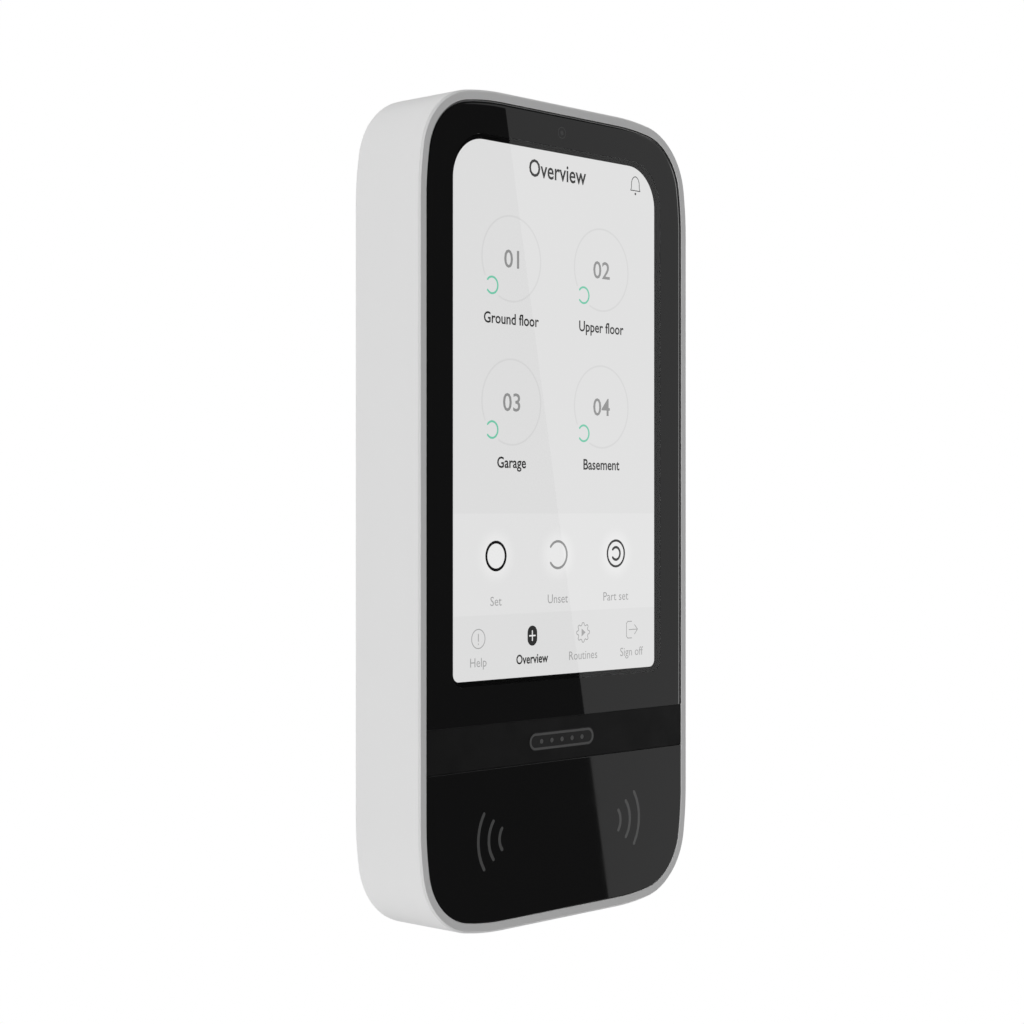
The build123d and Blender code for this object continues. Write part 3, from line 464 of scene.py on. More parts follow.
def surface(name, colour, roughness, tint=0.03, tint_mm=14.0, grain_mm=0.25, grain_depth=0.002,
            metallic=0.0, rough_spread=0.05, specular=0.5, worn=None, worn_mm=0.3):
    """A solid surface: colour drift, uneven roughness, a fine moulded or rolled grain, and worn edges."""
    material, tree, shader, coords = new_material(name)
    drift = noise(tree, coords, tint_mm)
    colours = blend_colours(tree, drift, scaled(colour, 1 - tint), scaled(colour, 1 + tint))
    if worn:
        rubbed = blend_colours(tree, edge_wear(tree, coords, worn_mm), colour, worn)
        tree.links.new(colours, rubbed.node.inputs["A"])
        colours = rubbed
    tree.links.new(colours, shader.inputs["Base Color"])
    patches = noise(tree, coords, tint_mm * ROUGH_PATCH)
    rough = blend_values(tree, patches, max(0.0, roughness - rough_spread), roughness + rough_spread)
    tree.links.new(rough, shader.inputs["Roughness"])
    shader.inputs["Metallic"].default_value = metallic
    shader.inputs["Specular IOR Level"].default_value = specular
    if grain_depth:
        add_bump(tree, shader, noise(tree, coords, grain_mm, 2.0), grain_depth)
    return material


def emit(tree, shader, colour):
    tree.links.new(colour, shader.inputs["Emission Color"])
    shader.inputs["Emission Strength"].default_value = 1.0
    shader.inputs["Base Color"].default_value = UNLIT
    shader.inputs["Specular IOR Level"].default_value = 0.0


def glowing(name, colour, drift=0.006):
    """A lit surface of the screen, with the slight unevenness of a backlight."""
    material, tree, shader, coords = new_material(name)
    uneven = noise(tree, coords, BACKLIGHT_MM, 1.0)
    emit(tree, shader, blend_colours(tree, uneven, scaled(colour, 1 - drift), scaled(colour, 1 + drift)))
    return material


def glow_disc(name, inner, outer, radius_mm):
    """A soft round glow that fades towards its rim."""
    material, tree, shader, coords = new_material(name)
    length = tree.nodes.new("ShaderNodeVectorMath")
    length.operation = "LENGTH"
    tree.links.new(coords, length.inputs[0])
    fade = tree.nodes.new("ShaderNodeMapRange")
    fade.interpolation_type = "SMOOTHSTEP"
    fade.inputs["From Min"].default_value = GLOW_CORE * radius_mm * MM
    fade.inputs["From Max"].default_value = radius_mm * MM
    tree.links.new(length.outputs["Value"], fade.inputs["Value"])
    emit(tree, shader, blend_colours(tree, fade.outputs["Result"], inner, outer))
    return material


def clear_glass(name):
    """Cover glass: clear, polished, with a trace of unevenness in its polish."""
    material, tree, shader, coords = new_material(name)
    shader.inputs["Base Color"].default_value = (1, 1, 1, 1)
    shader.inputs["Transmission Weight"].default_value = 1.0
    shader.inputs["IOR"].default_value = 1.5
    rough = blend_values(tree, noise(tree, coords, POLISH_MM), 0.0, POLISH)
    tree.links.new(rough, shader.inputs["Roughness"])
    return material


def paint(obj, material):
    obj.data.materials.clear()
    obj.data.materials.append(material)


GLOSS_TINT = (0.009, 0.009, 0.0092)
WHITE_SHELL = surface("white_shell", (0.80, 0.80, 0.80), 0.55, tint=0.006, grain_mm=0.35,
                      grain_depth=0.0012, specular=0.25)
WHITE_REAR = surface("white_rear", (0.74, 0.74, 0.73), 0.5, tint=0.02, tint_mm=25.0, grain_mm=0.45,
                     grain_depth=0.02, worn=(0.86, 0.86, 0.85), worn_mm=0.35)
GLASS = clear_glass("glass")
INK = surface("border_ink", (0.003, 0.003, 0.0031), 0.5, tint=0.1, grain_depth=0, specular=0.0)
MATT_BAR = surface("matt_bar", (0.0055, 0.0055, 0.0057), 0.6, tint=0.05, grain_mm=0.18,
                   grain_depth=0.002, specular=0.09)
GLOSS_BLACK = surface("gloss_black", GLOSS_TINT, 0.018, tint=0.08, rough_spread=0.006, grain_depth=0,
                      specular=0.4)
GLOSS_GLASS = surface("printed_glass", GLOSS_TINT, 0.008, tint=0.08, rough_spread=0.004, grain_depth=0,
                      specular=0.4)


# ---------------------------------------------------------------- shell
def build_shell():
    """White shell: side wall, front rim and inner ledge, with the foot notch and sound holes."""
    front, rear = SHELL_LOW.y, SHELL_HIGH.y
    profile = arc((EDGE_ROUND, rear - EDGE_ROUND), EDGE_ROUND, 90, 180, 6)
    start = EDGE_FACET + FACET_ROUND * math.tan(math.radians(22.5))
    profile += arc((FACET_ROUND, front + start), FACET_ROUND, 180, 225, 3)
    profile += arc((start, front + FACET_ROUND), FACET_ROUND, 225, 270, 3)
    profile += arc((SHELL_WALL - RIM_ROUND, front + RIM_ROUND), RIM_ROUND, 270, 360, 4)
    inset, ledge_front, ledge_back = LEDGE
    profile += [(SHELL_WALL, ledge_front), (inset, ledge_front)]
    profile += [(inset, ledge_back), (SHELL_WALL, ledge_back)]
    profile += arc((SHELL_WALL - RIM_ROUND, rear - RIM_ROUND), RIM_ROUND, 0, 90, 4)
    bm = bmesh.new()
    skin(bm, [(case_outline(i), y) for i, y in supported(profile, closed=True)], closed=True)
    shell = make_object("shell", bm)
    cut_notch_and_ports(shell)
    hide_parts("outer_frame")
    paint(shell, WHITE_SHELL)


def cut_notch_and_ports(shell):
    """Cuts the notch for the plate's flange and the sound holes out of the shell's foot."""
    reach = box_mm("mounting_plate")[0].y - NOTCH_GAP
    below, floor = CASE[2] - CUT_PAST, CASE[2]
    bm = bmesh.new()
    top = floor + NOTCH_RISE
    corners = [(-NOTCH_HALF, below), (NOTCH_HALF, below), (NOTCH_HALF, top), (-NOTCH_HALF, top)]
    flat_shape(bm, corners, reach, CUT_PAST - reach)
    for step in range(PORT_COUNT):
        ring = disc_points(PORT_X + PORT_STEP * step, PORT_Y, PORT_RADIUS, 24)
        lower = [bm.verts.new(Vector((x, y, below)) * MM) for x, y in ring]
        upper = [bm.verts.new(Vector((x, y, floor + PORT_DEPTH)) * MM) for x, y in ring]
        join_rings(bm, lower, upper)
        cap_ends(bm, lower, upper)
    bmesh.ops.recalc_face_normals(bm, faces=bm.faces)
    cutter = link_object("cutter", mesh_from("cutter", bm))
    cut = shell.modifiers.new("cut", "BOOLEAN")
    cut.operation = "DIFFERENCE"
    cut.solver = "EXACT"
    cut.object = cutter
    bpy.context.view_layer.update()
    evaluated = shell.evaluated_get(bpy.context.evaluated_depsgraph_get())
    mesh = bpy.data.meshes.new_from_object(evaluated)
    shell.modifiers.clear()
    shell.data = mesh
    shade(mesh)
    bpy.data.objects.remove(cutter)


# ---------------------------------------------------------------- front pieces
def build_printed_glass():
    """The part of the cover glass that is printed black at the rear, with a softly curved outer edge."""
    reach = GLASS_ROUND * math.sin(math.radians(GLASS_TILT))
    edge = [(0.0, GLASS_HIGH.y)]
    edge += arc((reach, GLASS_FRONT + GLASS_ROUND), GLASS_ROUND, 270 - GLASS_TILT, 270, 6)
    edge.append((reach + SUPPORT, GLASS_FRONT))
    loops = [(glass_outline(inset), y) for inset, y in supported(edge)]
    loops.append((window_outline(-PANE_MARGIN - SUPPORT), GLASS_FRONT))
    loops.append((window_outline(-PANE_MARGIN), GLASS_FRONT))
    loops.append((window_outline(-PANE_MARGIN), GLASS_HIGH.y))
    bm = bmesh.new()
    skin(bm, loops, closed=True)
    glass = make_object("printed_glass", bm, GLASS_SHARP)
    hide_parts("cover_glass")
    paint(glass, GLOSS_GLASS)


def build_pane():
    """The clear part of the cover glass, with the touch layer bonded to its rear."""
    bm = bmesh.new()
    edge = window_outline(PANE_FIT - PANE_MARGIN)
    skin(bm, [(edge, TOUCH_HIGH.y), (edge, GLASS_FRONT)])
    pane = make_object("clear_pane", bm)
    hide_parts("touch_sensor")
    paint(pane, GLASS)


def build_border():
    """Edge of the black print behind the pane, turned up round its sides.

    Its inner outline is the lit window.
    """
    start = 3 * PANE_FIT - PANE_MARGIN
    outer, sleeve, inner = window_outline(start), window_outline(start + SLEEVE), window_outline(0)
    rim = GLASS_FRONT + 2 * PANE_FIT
    loops = [(outer, PRINT_BACK), (outer, rim), (sleeve, rim)]
    loops += [(sleeve, PRINT_FRONT), (inner, PRINT_FRONT), (inner, PRINT_BACK)]
    bm = bmesh.new()
    skin(bm, loops, closed=True)
    border = make_object("printed_border", bm)
    paint(border, INK)


def build_gap_shade():
    """Dark lining of the shell's inner wall beside the cover glass, and a grey bed in the gap, both painted
    shade for the gap round the glass.
    """
    wall = -GLASS_GAP - GLASS_SHRINK
    rings = (("gap_lining_painted_shade", (wall + LINING[0], wall + LINING[1]), LINING_DEPTH, LINING_SHADE),
             ("gap_bed_painted_shade", (wall + 2 * LINING[1], BED_OVERLAP), BED_DEPTH, BED_SHADE))
    for name, insets, depth, tone in rings:
        outer, inner = (glass_outline(inset, foot) for inset, foot in zip(insets, LINING_FOOT))
        bm = bmesh.new()
        ring_solid(bm, outer, inner, SHELL_LOW.y + depth, GLASS_HIGH.y)
        shade_piece = make_object(name, bm)
        # The lining and the bed are coloured as painted shade in the gap.
        gap_shade_paint = surface(name, (tone, tone, tone), 0.7, tint=0.1, grain_mm=0.2, specular=0.1)
        paint(shade_piece, gap_shade_paint)


def build_bar():
    """Matt bar between the glass and the reader cover, with its rim just broken."""
    limits = (BAR_LOW.x, BAR_HIGH.x, BAR_LOW.z, BAR_HIGH.z)
    corner = (SMALL_CORNER, False)
    bm = bmesh.new()
    plate_solid(bm, lambda inset: outline(limits, inset, corner, corner), BAR_LOW.y, BAR_HIGH.y, BAR_ROUND)
    bar = make_object("matt_indicator_bar", bm)
    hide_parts("indicator_bar")
    paint(bar, MATT_BAR)


def build_reader_cover():
    """Gloss lower cover, with soft lower corners."""
    inset = SHELL_HIGH.x - READER_HIGH.x
    limits = (CASE[0], CASE[1], CASE[2], READER_HIGH.z + inset)

    def cover(extra):
        return outline(limits, inset + extra, (inset + SMALL_CORNER, False), (CORNER, True))

    bm = bmesh.new()
    plate_solid(bm, cover, READER_LOW.y, READER_HIGH.y, COVER_ROUND)
    piece = make_object("gloss_reader_cover", bm)
    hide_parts("reader_cover")
    paint(piece, GLOSS_BLACK)


build_shell()
build_printed_glass()
build_pane()
build_border()
build_gap_shade()
build_bar()
build_reader_cover()

# ---------------------------------------------------------------- screen
GLASS_PASS = 0.97          # share of the screen's light that the glass lets out
ROOM_CENTRES = [(-14.4, 52.3), (14.0, 52.3), (-14.4, 22.65), (14.0, 22.65)]
ROOM_RADIUS, ROOM_LINE = 8.85, 0.38
ROOM_ARC = (-116, 206)     # degrees; the status arc fills the gap
STATUS_OFFSET = (-5.87, -5.85)         # from the middle of a room
STATUS_RADIUS, STATUS_LINE = 1.7, 0.42
STATUS_ARC = (-140, 140)
MODE_X = (-19.1, -0.14, 18.75)
MODE_Z = -9.14
MODE_PANEL = (-32.2, 32.2, -21.2, -0.4)
GLOW_RADIUS = 6.4
MENU_X = (-24.3, -8.1, 8.0, 24.1)
MENU_Z = -25.95
GEAR_X = 7.95
THIN = 0.2                 # line width of the thin icons
BELL_X, BELL_Z = 25.37, 70.75
PILL_HALF = (1.48, 2.1)
PILL_CORNER = 1.47
TITLE_X, TITLE_Z = -0.1, 70.15
ROOM_NAME_DROP = 13.6      # from a room's middle to the foot of its name
NUMERAL_DROP = 1.85
MODE_WORD_Z = -19.35
MENU_WORD_Z = -31.65
CHOSEN_WORD_Z = -31.7
# Capital height, weight and squeeze of each kind of lettering.
TITLE_STYLE = (3.6, 0.012, 0.88)
ROOM_STYLE = (2.25, 0.016, 0.95)
NUMERAL_STYLE = (3.7, 0.009, 1.08)
MODE_STYLE = (1.9, 0.0, 1.0)
MENU_STYLE = (1.85, 0.0, 1.0)
CHOSEN_STYLE = (1.95, 0.02, 0.88)


def screen_grey(value):
    return scaled(grey(value), 1 / GLASS_PASS)


def layer(count):
    """Depth of the front of a layer drawn on the screen."""
    return SCREEN_Y - count * LAYER


def shifted(points, x, z):
    return [(x + across, z + up) for across, up in points]


def screen_piece(name, material, build):
    bm = bmesh.new()
    build(bm)
    paint(make_object(name, bm), material)


def build_screen():
    limits = (PANEL_LOW.x, PANEL_HIGH.x, PANEL_LOW.z, PANEL_HIGH.z)
    corner = (SCREEN_CORNER, False)
    bm = bmesh.new()
    plate_solid(bm, lambda inset: outline(limits, inset + SCREEN_FIT, corner, corner), SCREEN_Y, PANEL_HIGH.y)
    screen = make_object("lit_screen", bm)
    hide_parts("display_panel")
    paint(screen, glowing("screen_light", screen_grey(223)))


def build_mode_panel(bm):
    flat_shape(bm, [(MODE_PANEL[0], MODE_PANEL[2]), (MODE_PANEL[1], MODE_PANEL[2]),
                    (MODE_PANEL[1], MODE_PANEL[3]), (MODE_PANEL[0], MODE_PANEL[3])], layer(1))


def build_room_rings(bm):
    for x, z in ROOM_CENTRES:
        ring_band(bm, x, z, ROOM_RADIUS, ROOM_LINE, *ROOM_ARC, layer(1))


def build_status_arcs(bm):
    for x, z in ROOM_CENTRES:
        ring_band(bm, x + STATUS_OFFSET[0], z + STATUS_OFFSET[1], STATUS_RADIUS, STATUS_LINE, *STATUS_ARC,
                  layer(1))


def build_dark_icons(bm):
    """The part-set icon, an arc in a ring, and the pill behind the plus."""
    whole_ring(bm, MODE_X[2], MODE_Z, 2.82, 0.5, layer(3))
    ring_band(bm, MODE_X[2], MODE_Z, 1.36, 0.55, -140, 140, layer(3))
    x, (half_width, half_height) = MENU_X[1], PILL_HALF
    limits = (x - half_width, x + half_width, MENU_Z - half_height, MENU_Z + half_height)
    flat_shape(bm, outline(limits, 0, (PILL_CORNER, False), (PILL_CORNER, False)), layer(1))


def build_black_icon(bm):
    whole_ring(bm, MODE_X[0], MODE_Z, 2.86, 0.6, layer(3))


def build_grey_icon(bm):
    ring_band(bm, MODE_X[1], MODE_Z, 2.84, 0.52, -143, 143, layer(3))


def build_menu_icons(bm):
    """Thin line icons of the lower menu: a mark in a ring, a gear, and an arrow out of a frame."""
    front = layer(1)
    x = MENU_X[0]
    whole_ring(bm, x, MENU_Z, 1.95, THIN, front)
    stroke(bm, [(x, MENU_Z + 0.95), (x, MENU_Z - 0.45)], THIN + 0.04, front)
    flat_shape(bm, disc_points(x, MENU_Z - 1.05, 0.14, 16), front)

    teeth, points, reach, depth, steepness = 8, 128, 1.84, 0.25, 2.0
    gear = []
    for step in range(points + 1):
        angle = 2 * math.pi * step / points
        tooth = math.tanh(steepness * math.cos(teeth * angle)) / math.tanh(steepness)
        radius = reach + depth * tooth
        gear.append((GEAR_X + radius * math.cos(angle), MENU_Z + radius * math.sin(angle)))
    stroke(bm, gear, THIN, front)
    flat_shape(bm, shifted([(-0.5, -0.85), (0.8, 0), (-0.5, 0.85)], GEAR_X, MENU_Z), front)

    way_out = [(0, 1.8), (-1.35, 1.8), (-1.75, 1.4), (-1.75, -1.45), (-1.35, -1.85), (0, -1.85)]
    for line in (way_out, [(-0.9, 0), (2.0, 0)], [(1.0, 1.0), (2.0, 0), (1.0, -1.0)]):
        stroke(bm, shifted(line, MENU_X[3], MENU_Z), THIN, front)


def build_bell(bm):
    half = [(-1.6, 0), (-1.35, 0.55), (-1.3, 1.75), (-1.05, 2.45), (-0.6, 2.9), (0.0, 3.1)]
    whole = half + [(-x, z) for x, z in reversed(half[:-1])] + half[:1]
    stroke(bm, shifted(whole, BELL_X, BELL_Z), THIN, layer(1))
    flat_shape(bm, disc_points(BELL_X, BELL_Z - 0.7, 0.28, 20), layer(1))


def build_plus(bm):
    for line in ([(0, 1.0), (0, -1.0)], [(-0.85, 0), (0.85, 0)]):
        stroke(bm, shifted(line, MENU_X[1], MENU_Z), 0.3, layer(2))


def build_dark_words(bm):
    add_text(bm, "Overview", TITLE_X, TITLE_Z, layer(1), TITLE_STYLE)
    names = ("Ground floor", "Upper floor", "Garage", "Basement")
    for name, (x, z) in zip(names, ROOM_CENTRES):
        add_text(bm, name, x, z - ROOM_NAME_DROP, layer(1), ROOM_STYLE)
    add_text(bm, "Overview", MENU_X[1], CHOSEN_WORD_Z, layer(1), CHOSEN_STYLE)


def build_numerals(bm):
    for number, (x, z) in enumerate(ROOM_CENTRES, 1):
        add_text(bm, f"0{number}", x, z - NUMERAL_DROP, layer(1), NUMERAL_STYLE)


def build_pale_words(bm):
    for word, x in zip(("Set", "Unset", "Part set"), MODE_X):
        add_text(bm, word, x, MODE_WORD_Z, layer(2), MODE_STYLE)
    for word, place_in_row in (("Help", 0), ("Routines", 2), ("Sign off", 3)):
        add_text(bm, word, MENU_X[place_in_row], MENU_WORD_Z, layer(2), MENU_STYLE)


def build_glow(name, x):
    """A faint round glow behind one mode icon."""
    bm = bmesh.new()
    flat_shape(bm, disc_points(0, 0, GLOW_RADIUS, 64), 0)
    glow = make_object(name, bm, location=place((x, MODE_Z), layer(2)))
    paint(glow, GLOW)


GLOW = glow_disc("mode_glow", screen_grey(235), screen_grey(227), GLOW_RADIUS)
STATUS_GREEN = scaled((srgb(115), srgb(200), srgb(170)), 1 / GLASS_PASS)
build_screen()
screen_piece("screen_mode_panel", glowing("panel_light", screen_grey(227), 0.003), build_mode_panel)
screen_piece("screen_room_rings", glowing("ring_light", screen_grey(215)), build_room_rings)
screen_piece("screen_status_arcs", glowing("arc_light", STATUS_GREEN, 0.03), build_status_arcs)
screen_piece("screen_dark_icons", glowing("dark_light", screen_grey(48), 0.03), build_dark_icons)
screen_piece("screen_black_icon", glowing("black_light", screen_grey(14), 0.03), build_black_icon)
screen_piece("screen_grey_icon", glowing("grey_light", screen_grey(147), 0.02), build_grey_icon)
screen_piece("screen_menu_icons", glowing("pale_light", screen_grey(165), 0.02), build_menu_icons)
screen_piece("screen_bell", glowing("bell_light", screen_grey(70), 0.02), build_bell)
screen_piece("screen_plus", glowing("plus_light", screen_grey(235)), build_plus)
screen_piece("screen_dark_words", glowing("word_light", screen_grey(46), 0.03), build_dark_words)
screen_piece("screen_numerals", glowing("numeral_light", screen_grey(145), 0.02), build_numerals)
screen_piece("screen_pale_words", glowing("pale_word_light", screen_grey(165), 0.02), build_pale_words)
for mode, mode_x in zip(("set", "unset", "part_set"), MODE_X):
    build_glow(f"screen_glow_{mode}", mode_x)


# ---------------------------------------------------------------- marks on the front
MARK_WIDTH = 0.74
MARK_Z = -67.2
MARK_ARCS = ((25.4, 5.65, 1.7), (22.3, 3.9, 1.35), (19.15, 2.15, 0.75))    # crest, half chord, sag
MARK_PROUD = 0.008
LENS_PROUD = 0.02
LENS_ROUND = 0.15
LENS_RING = (0.25, 0.75)   # ring printed on the lens, in from its outline
PRINT_PROUD = 0.05
DOT_STEP = 3.2
DOT_RADIUS = 0.5
SENSOR_PROUD = 0.006
SENSOR_RADIUS, SENSOR_LINE = 1.15, 0.2


def build_reader_marks():
    """Three arcs each side, printed on the reader cover, that mark where a card is read."""
    front = READER_LOW.y - MARK_PROUD
    bm = bmesh.new()
    for side, facing in ((-1, 180), (1, 0)):
        for crest, half_chord, sag in MARK_ARCS:
            radius = (sag ** 2 + half_chord ** 2) / (2 * sag)
            half = math.degrees(math.asin(half_chord / radius))
            x = side * (crest - radius)
            ring_band(bm, x, MARK_Z, radius, MARK_WIDTH, facing - half, facing + half, front)
    marks = make_object("reader_wave_marks", bm)
    grey_print = surface("printed_grey", (0.12, 0.12, 0.12), 0.05, tint=0.05, rough_spread=0.01,
                         grain_depth=0, specular=0.4)
    paint(marks, grey_print)


def build_indicator():
    """Smoked lens in the bar, with a printed ring and a row of dots for the lights."""
    limits = (LENS_LOW.x, LENS_HIGH.x, LENS_LOW.z, LENS_HIGH.z)
    half_height = (LENS_HIGH.z - LENS_LOW.z) / 2

    def pill(inset):
        return outline(limits, inset, (half_height, False), (half_height, False))

    bm = bmesh.new()
    plate_solid(bm, pill, LENS_LOW.y - LENS_PROUD, LENS_HIGH.y, LENS_ROUND)
    lens = make_object("indicator_window", bm)
    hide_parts("indicator_lens")
    smoked = surface("smoked_lens", (0.008, 0.008, 0.0082), 0.4, tint=0.1, grain_depth=0, specular=0.15)
    paint(lens, smoked)

    bm = bmesh.new()
    front, back = LENS_LOW.y - PRINT_PROUD, LENS_LOW.y + PRINT_PROUD
    ring_solid(bm, pill(LENS_RING[0]), pill(LENS_RING[1]), front, back)
    middle = (LENS_LOW + LENS_HIGH) / 2
    for step in range(-2, 3):
        dot = disc_points(middle.x + DOT_STEP * step, middle.z, DOT_RADIUS, 32)
        flat_shape(bm, dot, front, 2 * PRINT_PROUD)
    mark = make_object("indicator_dots", bm)
    dot_print = surface("dot_print", (0.10, 0.10, 0.10), 0.5, tint=0.05, grain_depth=0, specular=0.2)
    paint(mark, dot_print)


def build_sensor_window():
    """Faint round window of the proximity sensor, in the border above the screen."""
    middle = (SENSOR_LOW + SENSOR_HIGH) / 2
    front = GLASS_FRONT - SENSOR_PROUD
    bm = bmesh.new()
    whole_ring(bm, middle.x, middle.z, SENSOR_RADIUS, SENSOR_LINE, front)
    flat_shape(bm, disc_points(middle.x, middle.z, DOT_RADIUS, 32), front)
    window = make_object("sensor_window", bm)
    tinted = surface("sensor_tint", (0.035, 0.035, 0.036), 0.03, tint=0.1, rough_spread=0.01, grain_depth=0)
    paint(window, tinted)


build_reader_marks()
build_indicator()
build_sensor_window()

# ---------------------------------------------------------------- finishes of the carried-over nodes
STEEL = surface("plated_steel", (0.56, 0.57, 0.58), 0.3, tint=0.08, tint_mm=1.5, grain_mm=0.12,
                grain_depth=0.004, metallic=1.0, rough_spread=0.1, worn=(0.75, 0.75, 0.74), worn_mm=0.12)
FINISHES = {
    "white_plastic": WHITE_REAR,
    "black_plastic": surface("black_moulding", (0.012, 0.012, 0.012), 0.5, tint=0.08, grain_mm=0.3,
                             grain_depth=0.006, worn=(0.03, 0.03, 0.03)),
    "matt_bar": MATT_BAR,
    "gloss_black": GLOSS_BLACK,
    "cover_glass": GLASS,
    "touch_film": GLASS,
    "smoked_lens": GLOSS_BLACK,
    "display_glass": surface("display_rear", (0.1, 0.1, 0.1), 0.2, grain_depth=0),
    "diffuser": surface("diffuser", (0.85, 0.85, 0.84), 0.5, tint=0.01),
    "steel": surface("sheet_steel", (0.55, 0.55, 0.56), 0.36, tint=0.04, tint_mm=6.0, grain_mm=0.3,
                     metallic=1.0),
    "screw_steel": STEEL,
    "nickel": surface("nickel", (0.66, 0.64, 0.6), 0.25, tint=0.04, tint_mm=3.0, grain_mm=0.2, metallic=1.0),
    "brass": surface("brass", (0.75, 0.55, 0.25), 0.25, tint=0.05, tint_mm=1.0, metallic=1.0),
    "copper_track": surface("copper_track", (0.72, 0.4, 0.25), 0.3, tint=0.06, tint_mm=3.0, metallic=1.0),
    "foam": surface("foam", (0.02, 0.02, 0.02), 0.9, tint=0.15, grain_mm=0.3, grain_depth=0.03),
    "flex": surface("polyimide", (0.45, 0.2, 0.04), 0.25, tint=0.1, tint_mm=4.0),
    "circuit_board": surface("solder_mask", (0.012, 0.09, 0.04), 0.3, tint=0.15, tint_mm=3.0, grain_mm=0.4,
                             grain_depth=0.006),
    "chip": surface("chip_epoxy", (0.015, 0.015, 0.016), 0.5, tint=0.1, grain_mm=0.15),
    "connector": surface("nylon", (0.7, 0.66, 0.56), 0.45, tint=0.03),
    "led": surface("led_epoxy", (0.8, 0.8, 0.72), 0.15, tint=0.05, tint_mm=1.0),
    "terminal_green": surface("terminal_green", (0.02, 0.22, 0.07), 0.42, tint=0.1, tint_mm=2.0,
                              grain_mm=0.2, grain_depth=0.008, worn=(0.06, 0.32, 0.13), worn_mm=0.25),
    "cell_sleeve": surface("cell_sleeve", (0.05, 0.055, 0.065), 0.25, tint=0.1, tint_mm=8.0),
    "grey_plastic": surface("grey_moulding", (0.12, 0.12, 0.125), 0.45, tint=0.05, tint_mm=5.0,
                            grain_mm=0.3, grain_depth=0.008, worn=(0.2, 0.2, 0.2)),
    "switch_black": surface("switch_black", (0.02, 0.02, 0.02), 0.45, tint=0.1, grain_mm=0.2),
}
SLOT_OF = {entry["node"]: entry["material_slot"] for entry in frame["record"]["subparts"]}
for node_name, node in NODES.items():
    node.data.materials.clear()
    node.data.materials.append(FINISHES[SLOT_OF[node_name]])

# ---------------------------------------------------------------- tamper spring
SPRING_WIRE = 0.14         # half the wire's thickness
SPRING_TURNS = 4
SPRING_STEPS = 28          # along each turn
WIRE_SIDES = 10
WIRE_SHARP = 60.0


def build_tamper_spring():
    """Coil spring behind the tamper plunger."""
    low, high = box_mm("tamper_spring")
    middle = (low + high) / 2
    radius = (high.x - low.x) / 2 - SPRING_WIRE
    steps = SPRING_TURNS * SPRING_STEPS
    run = high.y - low.y - 2 * SPRING_WIRE
    section = disc_points(0, 0, SPRING_WIRE, WIRE_SIDES)
    bm = bmesh.new()
    rings = []
    for step in range(steps + 1):
        angle = 2 * math.pi * step / SPRING_STEPS
        outward = Vector((math.cos(angle), 0, math.sin(angle)))
        axis_point = Vector((middle.x, low.y + SPRING_WIRE + run * step / steps, middle.z))
        points = [axis_point + (radius + out) * outward + Vector((0, along, 0)) for out, along in section]
        rings.append([bm.verts.new(point * MM) for point in points])
    for first, second in zip(rings, rings[1:]):
        join_rings(bm, first, second)
    cap_ends(bm, rings[0], rings[-1])
    spring = make_object("coil_spring", bm, WIRE_SHARP)
    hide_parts("tamper_spring")
    paint(spring, STEEL)
    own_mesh(spring)


build_tamper_spring()


# ---------------------------------------------------------------- stage, lights and camera
FLOOR_REACH, FLOOR_Z = 6000.0, -2400.0
# From here on lengths are in metres.
AMBIENT = 0.05             # radiance of the room, all round
CAMERA_PLACE = Vector((-0.33451, -0.31876, -0.00010))
CAMERA_FORWARD = Vector((0.72873, 0.68481, 0.0))
CAMERA_NEAR = 0.01
LENS_MM, SENSOR_MM = 74.63, 36.0
WINDOW_DISTANCE = 1.5
WINDOW_SIZE = (0.9, 1.6)
WINDOW_EDGE_TOP = (-0.0290, 0.358)     # ends of the window panel's left edge: across and up
WINDOW_EDGE_FOOT = (0.0617, -0.336)
WINDOW_RADIANCE = 0.6
LIGHTS = (                 # name, place, sides and radiance of each square or oblong light
    ("key_left", (-2.16, -0.46, 0.0), (2.4, 2.4), 2.18),
    ("rim_card", (1.9, -0.48, 0.0), (1.0, 1.2), 2.2),
    ("top", (-0.6, -0.1, 1.6), (1.8, 1.8), 1.2),
    ("foot", (-0.6, -0.1, -1.6), (1.8, 1.8), 1.1),
    ("bevel_card", (1.1, -0.15, 1.02), (0.7, 0.7), 1.3),
    ("backdrop", (1.3, 1.6, 0.0), (3.0, 3.0), 0.7),
    ("rear_top", (0.1, 1.3, 1.7), (1.2, 1.2), 1.2),
)


def build_floor():
    """A pale floor far below, hidden from the camera."""
    corners = [(-FLOOR_REACH, -FLOOR_REACH), (FLOOR_REACH, -FLOOR_REACH), (FLOOR_REACH, FLOOR_REACH),
               (-FLOOR_REACH, FLOOR_REACH)]
    bm = bmesh.new()
    bm.faces.new([bm.verts.new(Vector((x, y, FLOOR_Z)) * MM) for x, y in corners])
    floor = link_object("floor", mesh_from("floor", bm))
    pale = surface("pale_floor", (0.9, 0.9, 0.9), 0.9, tint=0.01, tint_mm=400.0, grain_depth=0)
    floor.data.materials.append(pale)
    floor.visible_camera = False


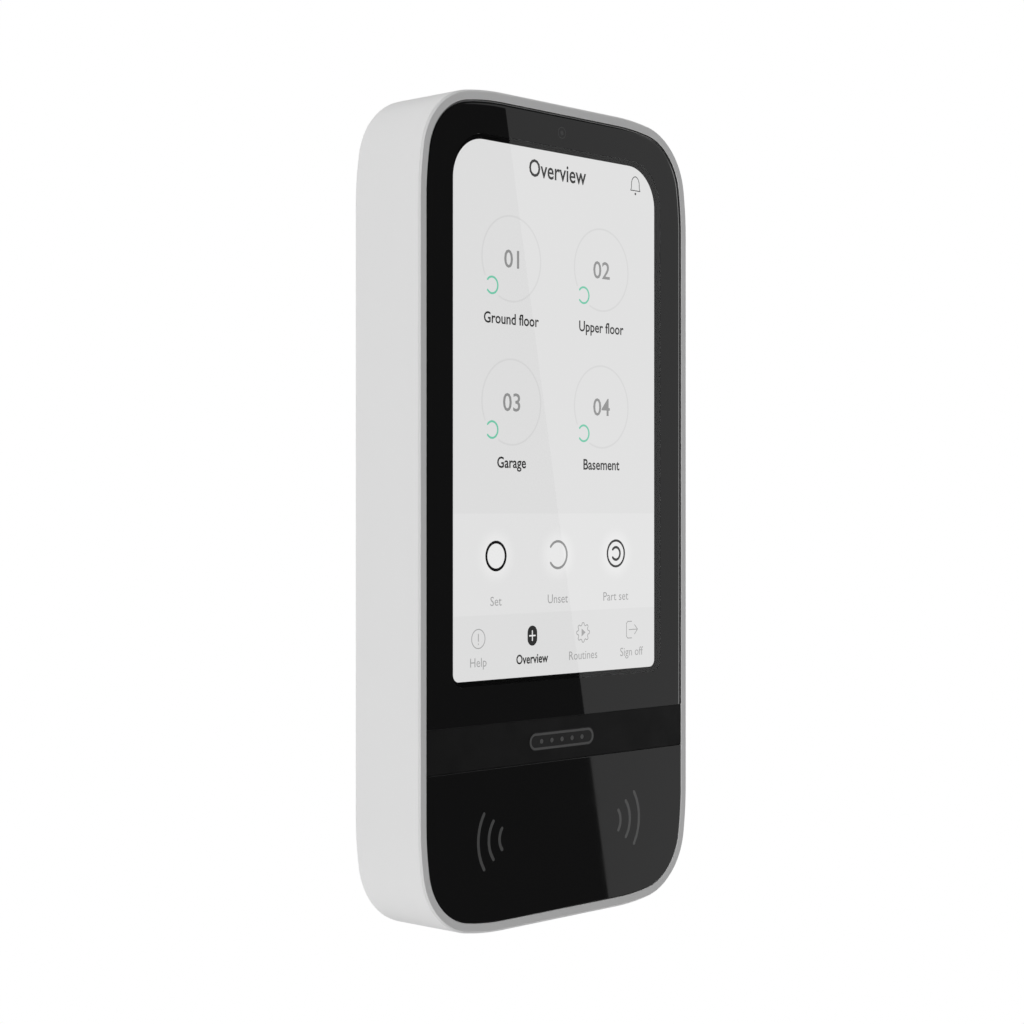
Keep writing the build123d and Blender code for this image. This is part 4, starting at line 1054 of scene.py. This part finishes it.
def build_world():
    """White behind the object, and a dim even room that lights it."""
    world = bpy.data.worlds.new("studio")
    world.use_nodes = True
    tree = world.node_tree
    tree.nodes.clear()
    path = tree.nodes.new("ShaderNodeLightPath")
    seen = tree.nodes.new("ShaderNodeBackground")
    seen.inputs["Color"].default_value = (1, 1, 1, 1)
    lit = tree.nodes.new("ShaderNodeBackground")
    lit.inputs["Color"].default_value = (1, 1, 1, 1)
    lit.inputs["Strength"].default_value = AMBIENT
    mix = tree.nodes.new("ShaderNodeMixShader")
    out = tree.nodes.new("ShaderNodeOutputWorld")
    tree.links.new(path.outputs["Is Camera Ray"], mix.inputs["Fac"])
    tree.links.new(lit.outputs["Background"], mix.inputs[1])
    tree.links.new(seen.outputs["Background"], mix.inputs[2])
    tree.links.new(mix.outputs["Shader"], out.inputs["Surface"])
    bpy.context.scene.world = world


def area_light(name, size, radiance):
    """A rectangular light of even radiance, hidden from the camera."""
    data = bpy.data.lights.new(name, "AREA")
    data.shape = "RECTANGLE"
    data.size, data.size_y = size
    data.energy = radiance * math.pi * size[0] * size[1]
    light = link_object(name, data)
    light.visible_camera = False
    return light


def build_window_panel():
    """A tall panel at the right front. Its left edge is the straight edge mirrored in the gloss front."""
    facing = Vector((CAMERA_FORWARD.x, -CAMERA_FORWARD.y, 0))
    across = Vector((CAMERA_FORWARD.y, CAMERA_FORWARD.x, 0))
    top, foot = (facing * WINDOW_DISTANCE + across * side + Vector((0, 0, up))
                 for side, up in (WINDOW_EDGE_TOP, WINDOW_EDGE_FOOT))
    upright = (top - foot).normalized()
    rightward = upright.cross(facing)
    away = rightward if rightward.dot(across) > 0 else -rightward
    axes = Matrix((rightward, upright, facing)).transposed().to_4x4()
    panel = area_light("window_panel", WINDOW_SIZE, WINDOW_RADIANCE)
    panel.matrix_world = Matrix.Translation((top + foot) / 2 + away * (WINDOW_SIZE[0] / 2)) @ axes


def build_camera():
    data = bpy.data.cameras.new("camera")
    data.sensor_width = SENSOR_MM
    data.lens = LENS_MM
    data.clip_start = CAMERA_NEAR
    camera = link_object("camera", data)
    camera.location = CAMERA_PLACE
    camera.rotation_euler = CAMERA_FORWARD.to_track_quat("-Z", "Y").to_euler()
    bpy.context.scene.camera = camera


build_floor()
build_world()
build_window_panel()
for name, location, size, radiance in LIGHTS:
    light = area_light(name, size, radiance)
    light.location = location
    light.rotation_euler = (-Vector(location)).to_track_quat("-Z", "Y").to_euler()
build_camera()
bpy.context.scene.view_settings.view_transform = "Standard"
bpy.context.scene.view_settings.look = "None"
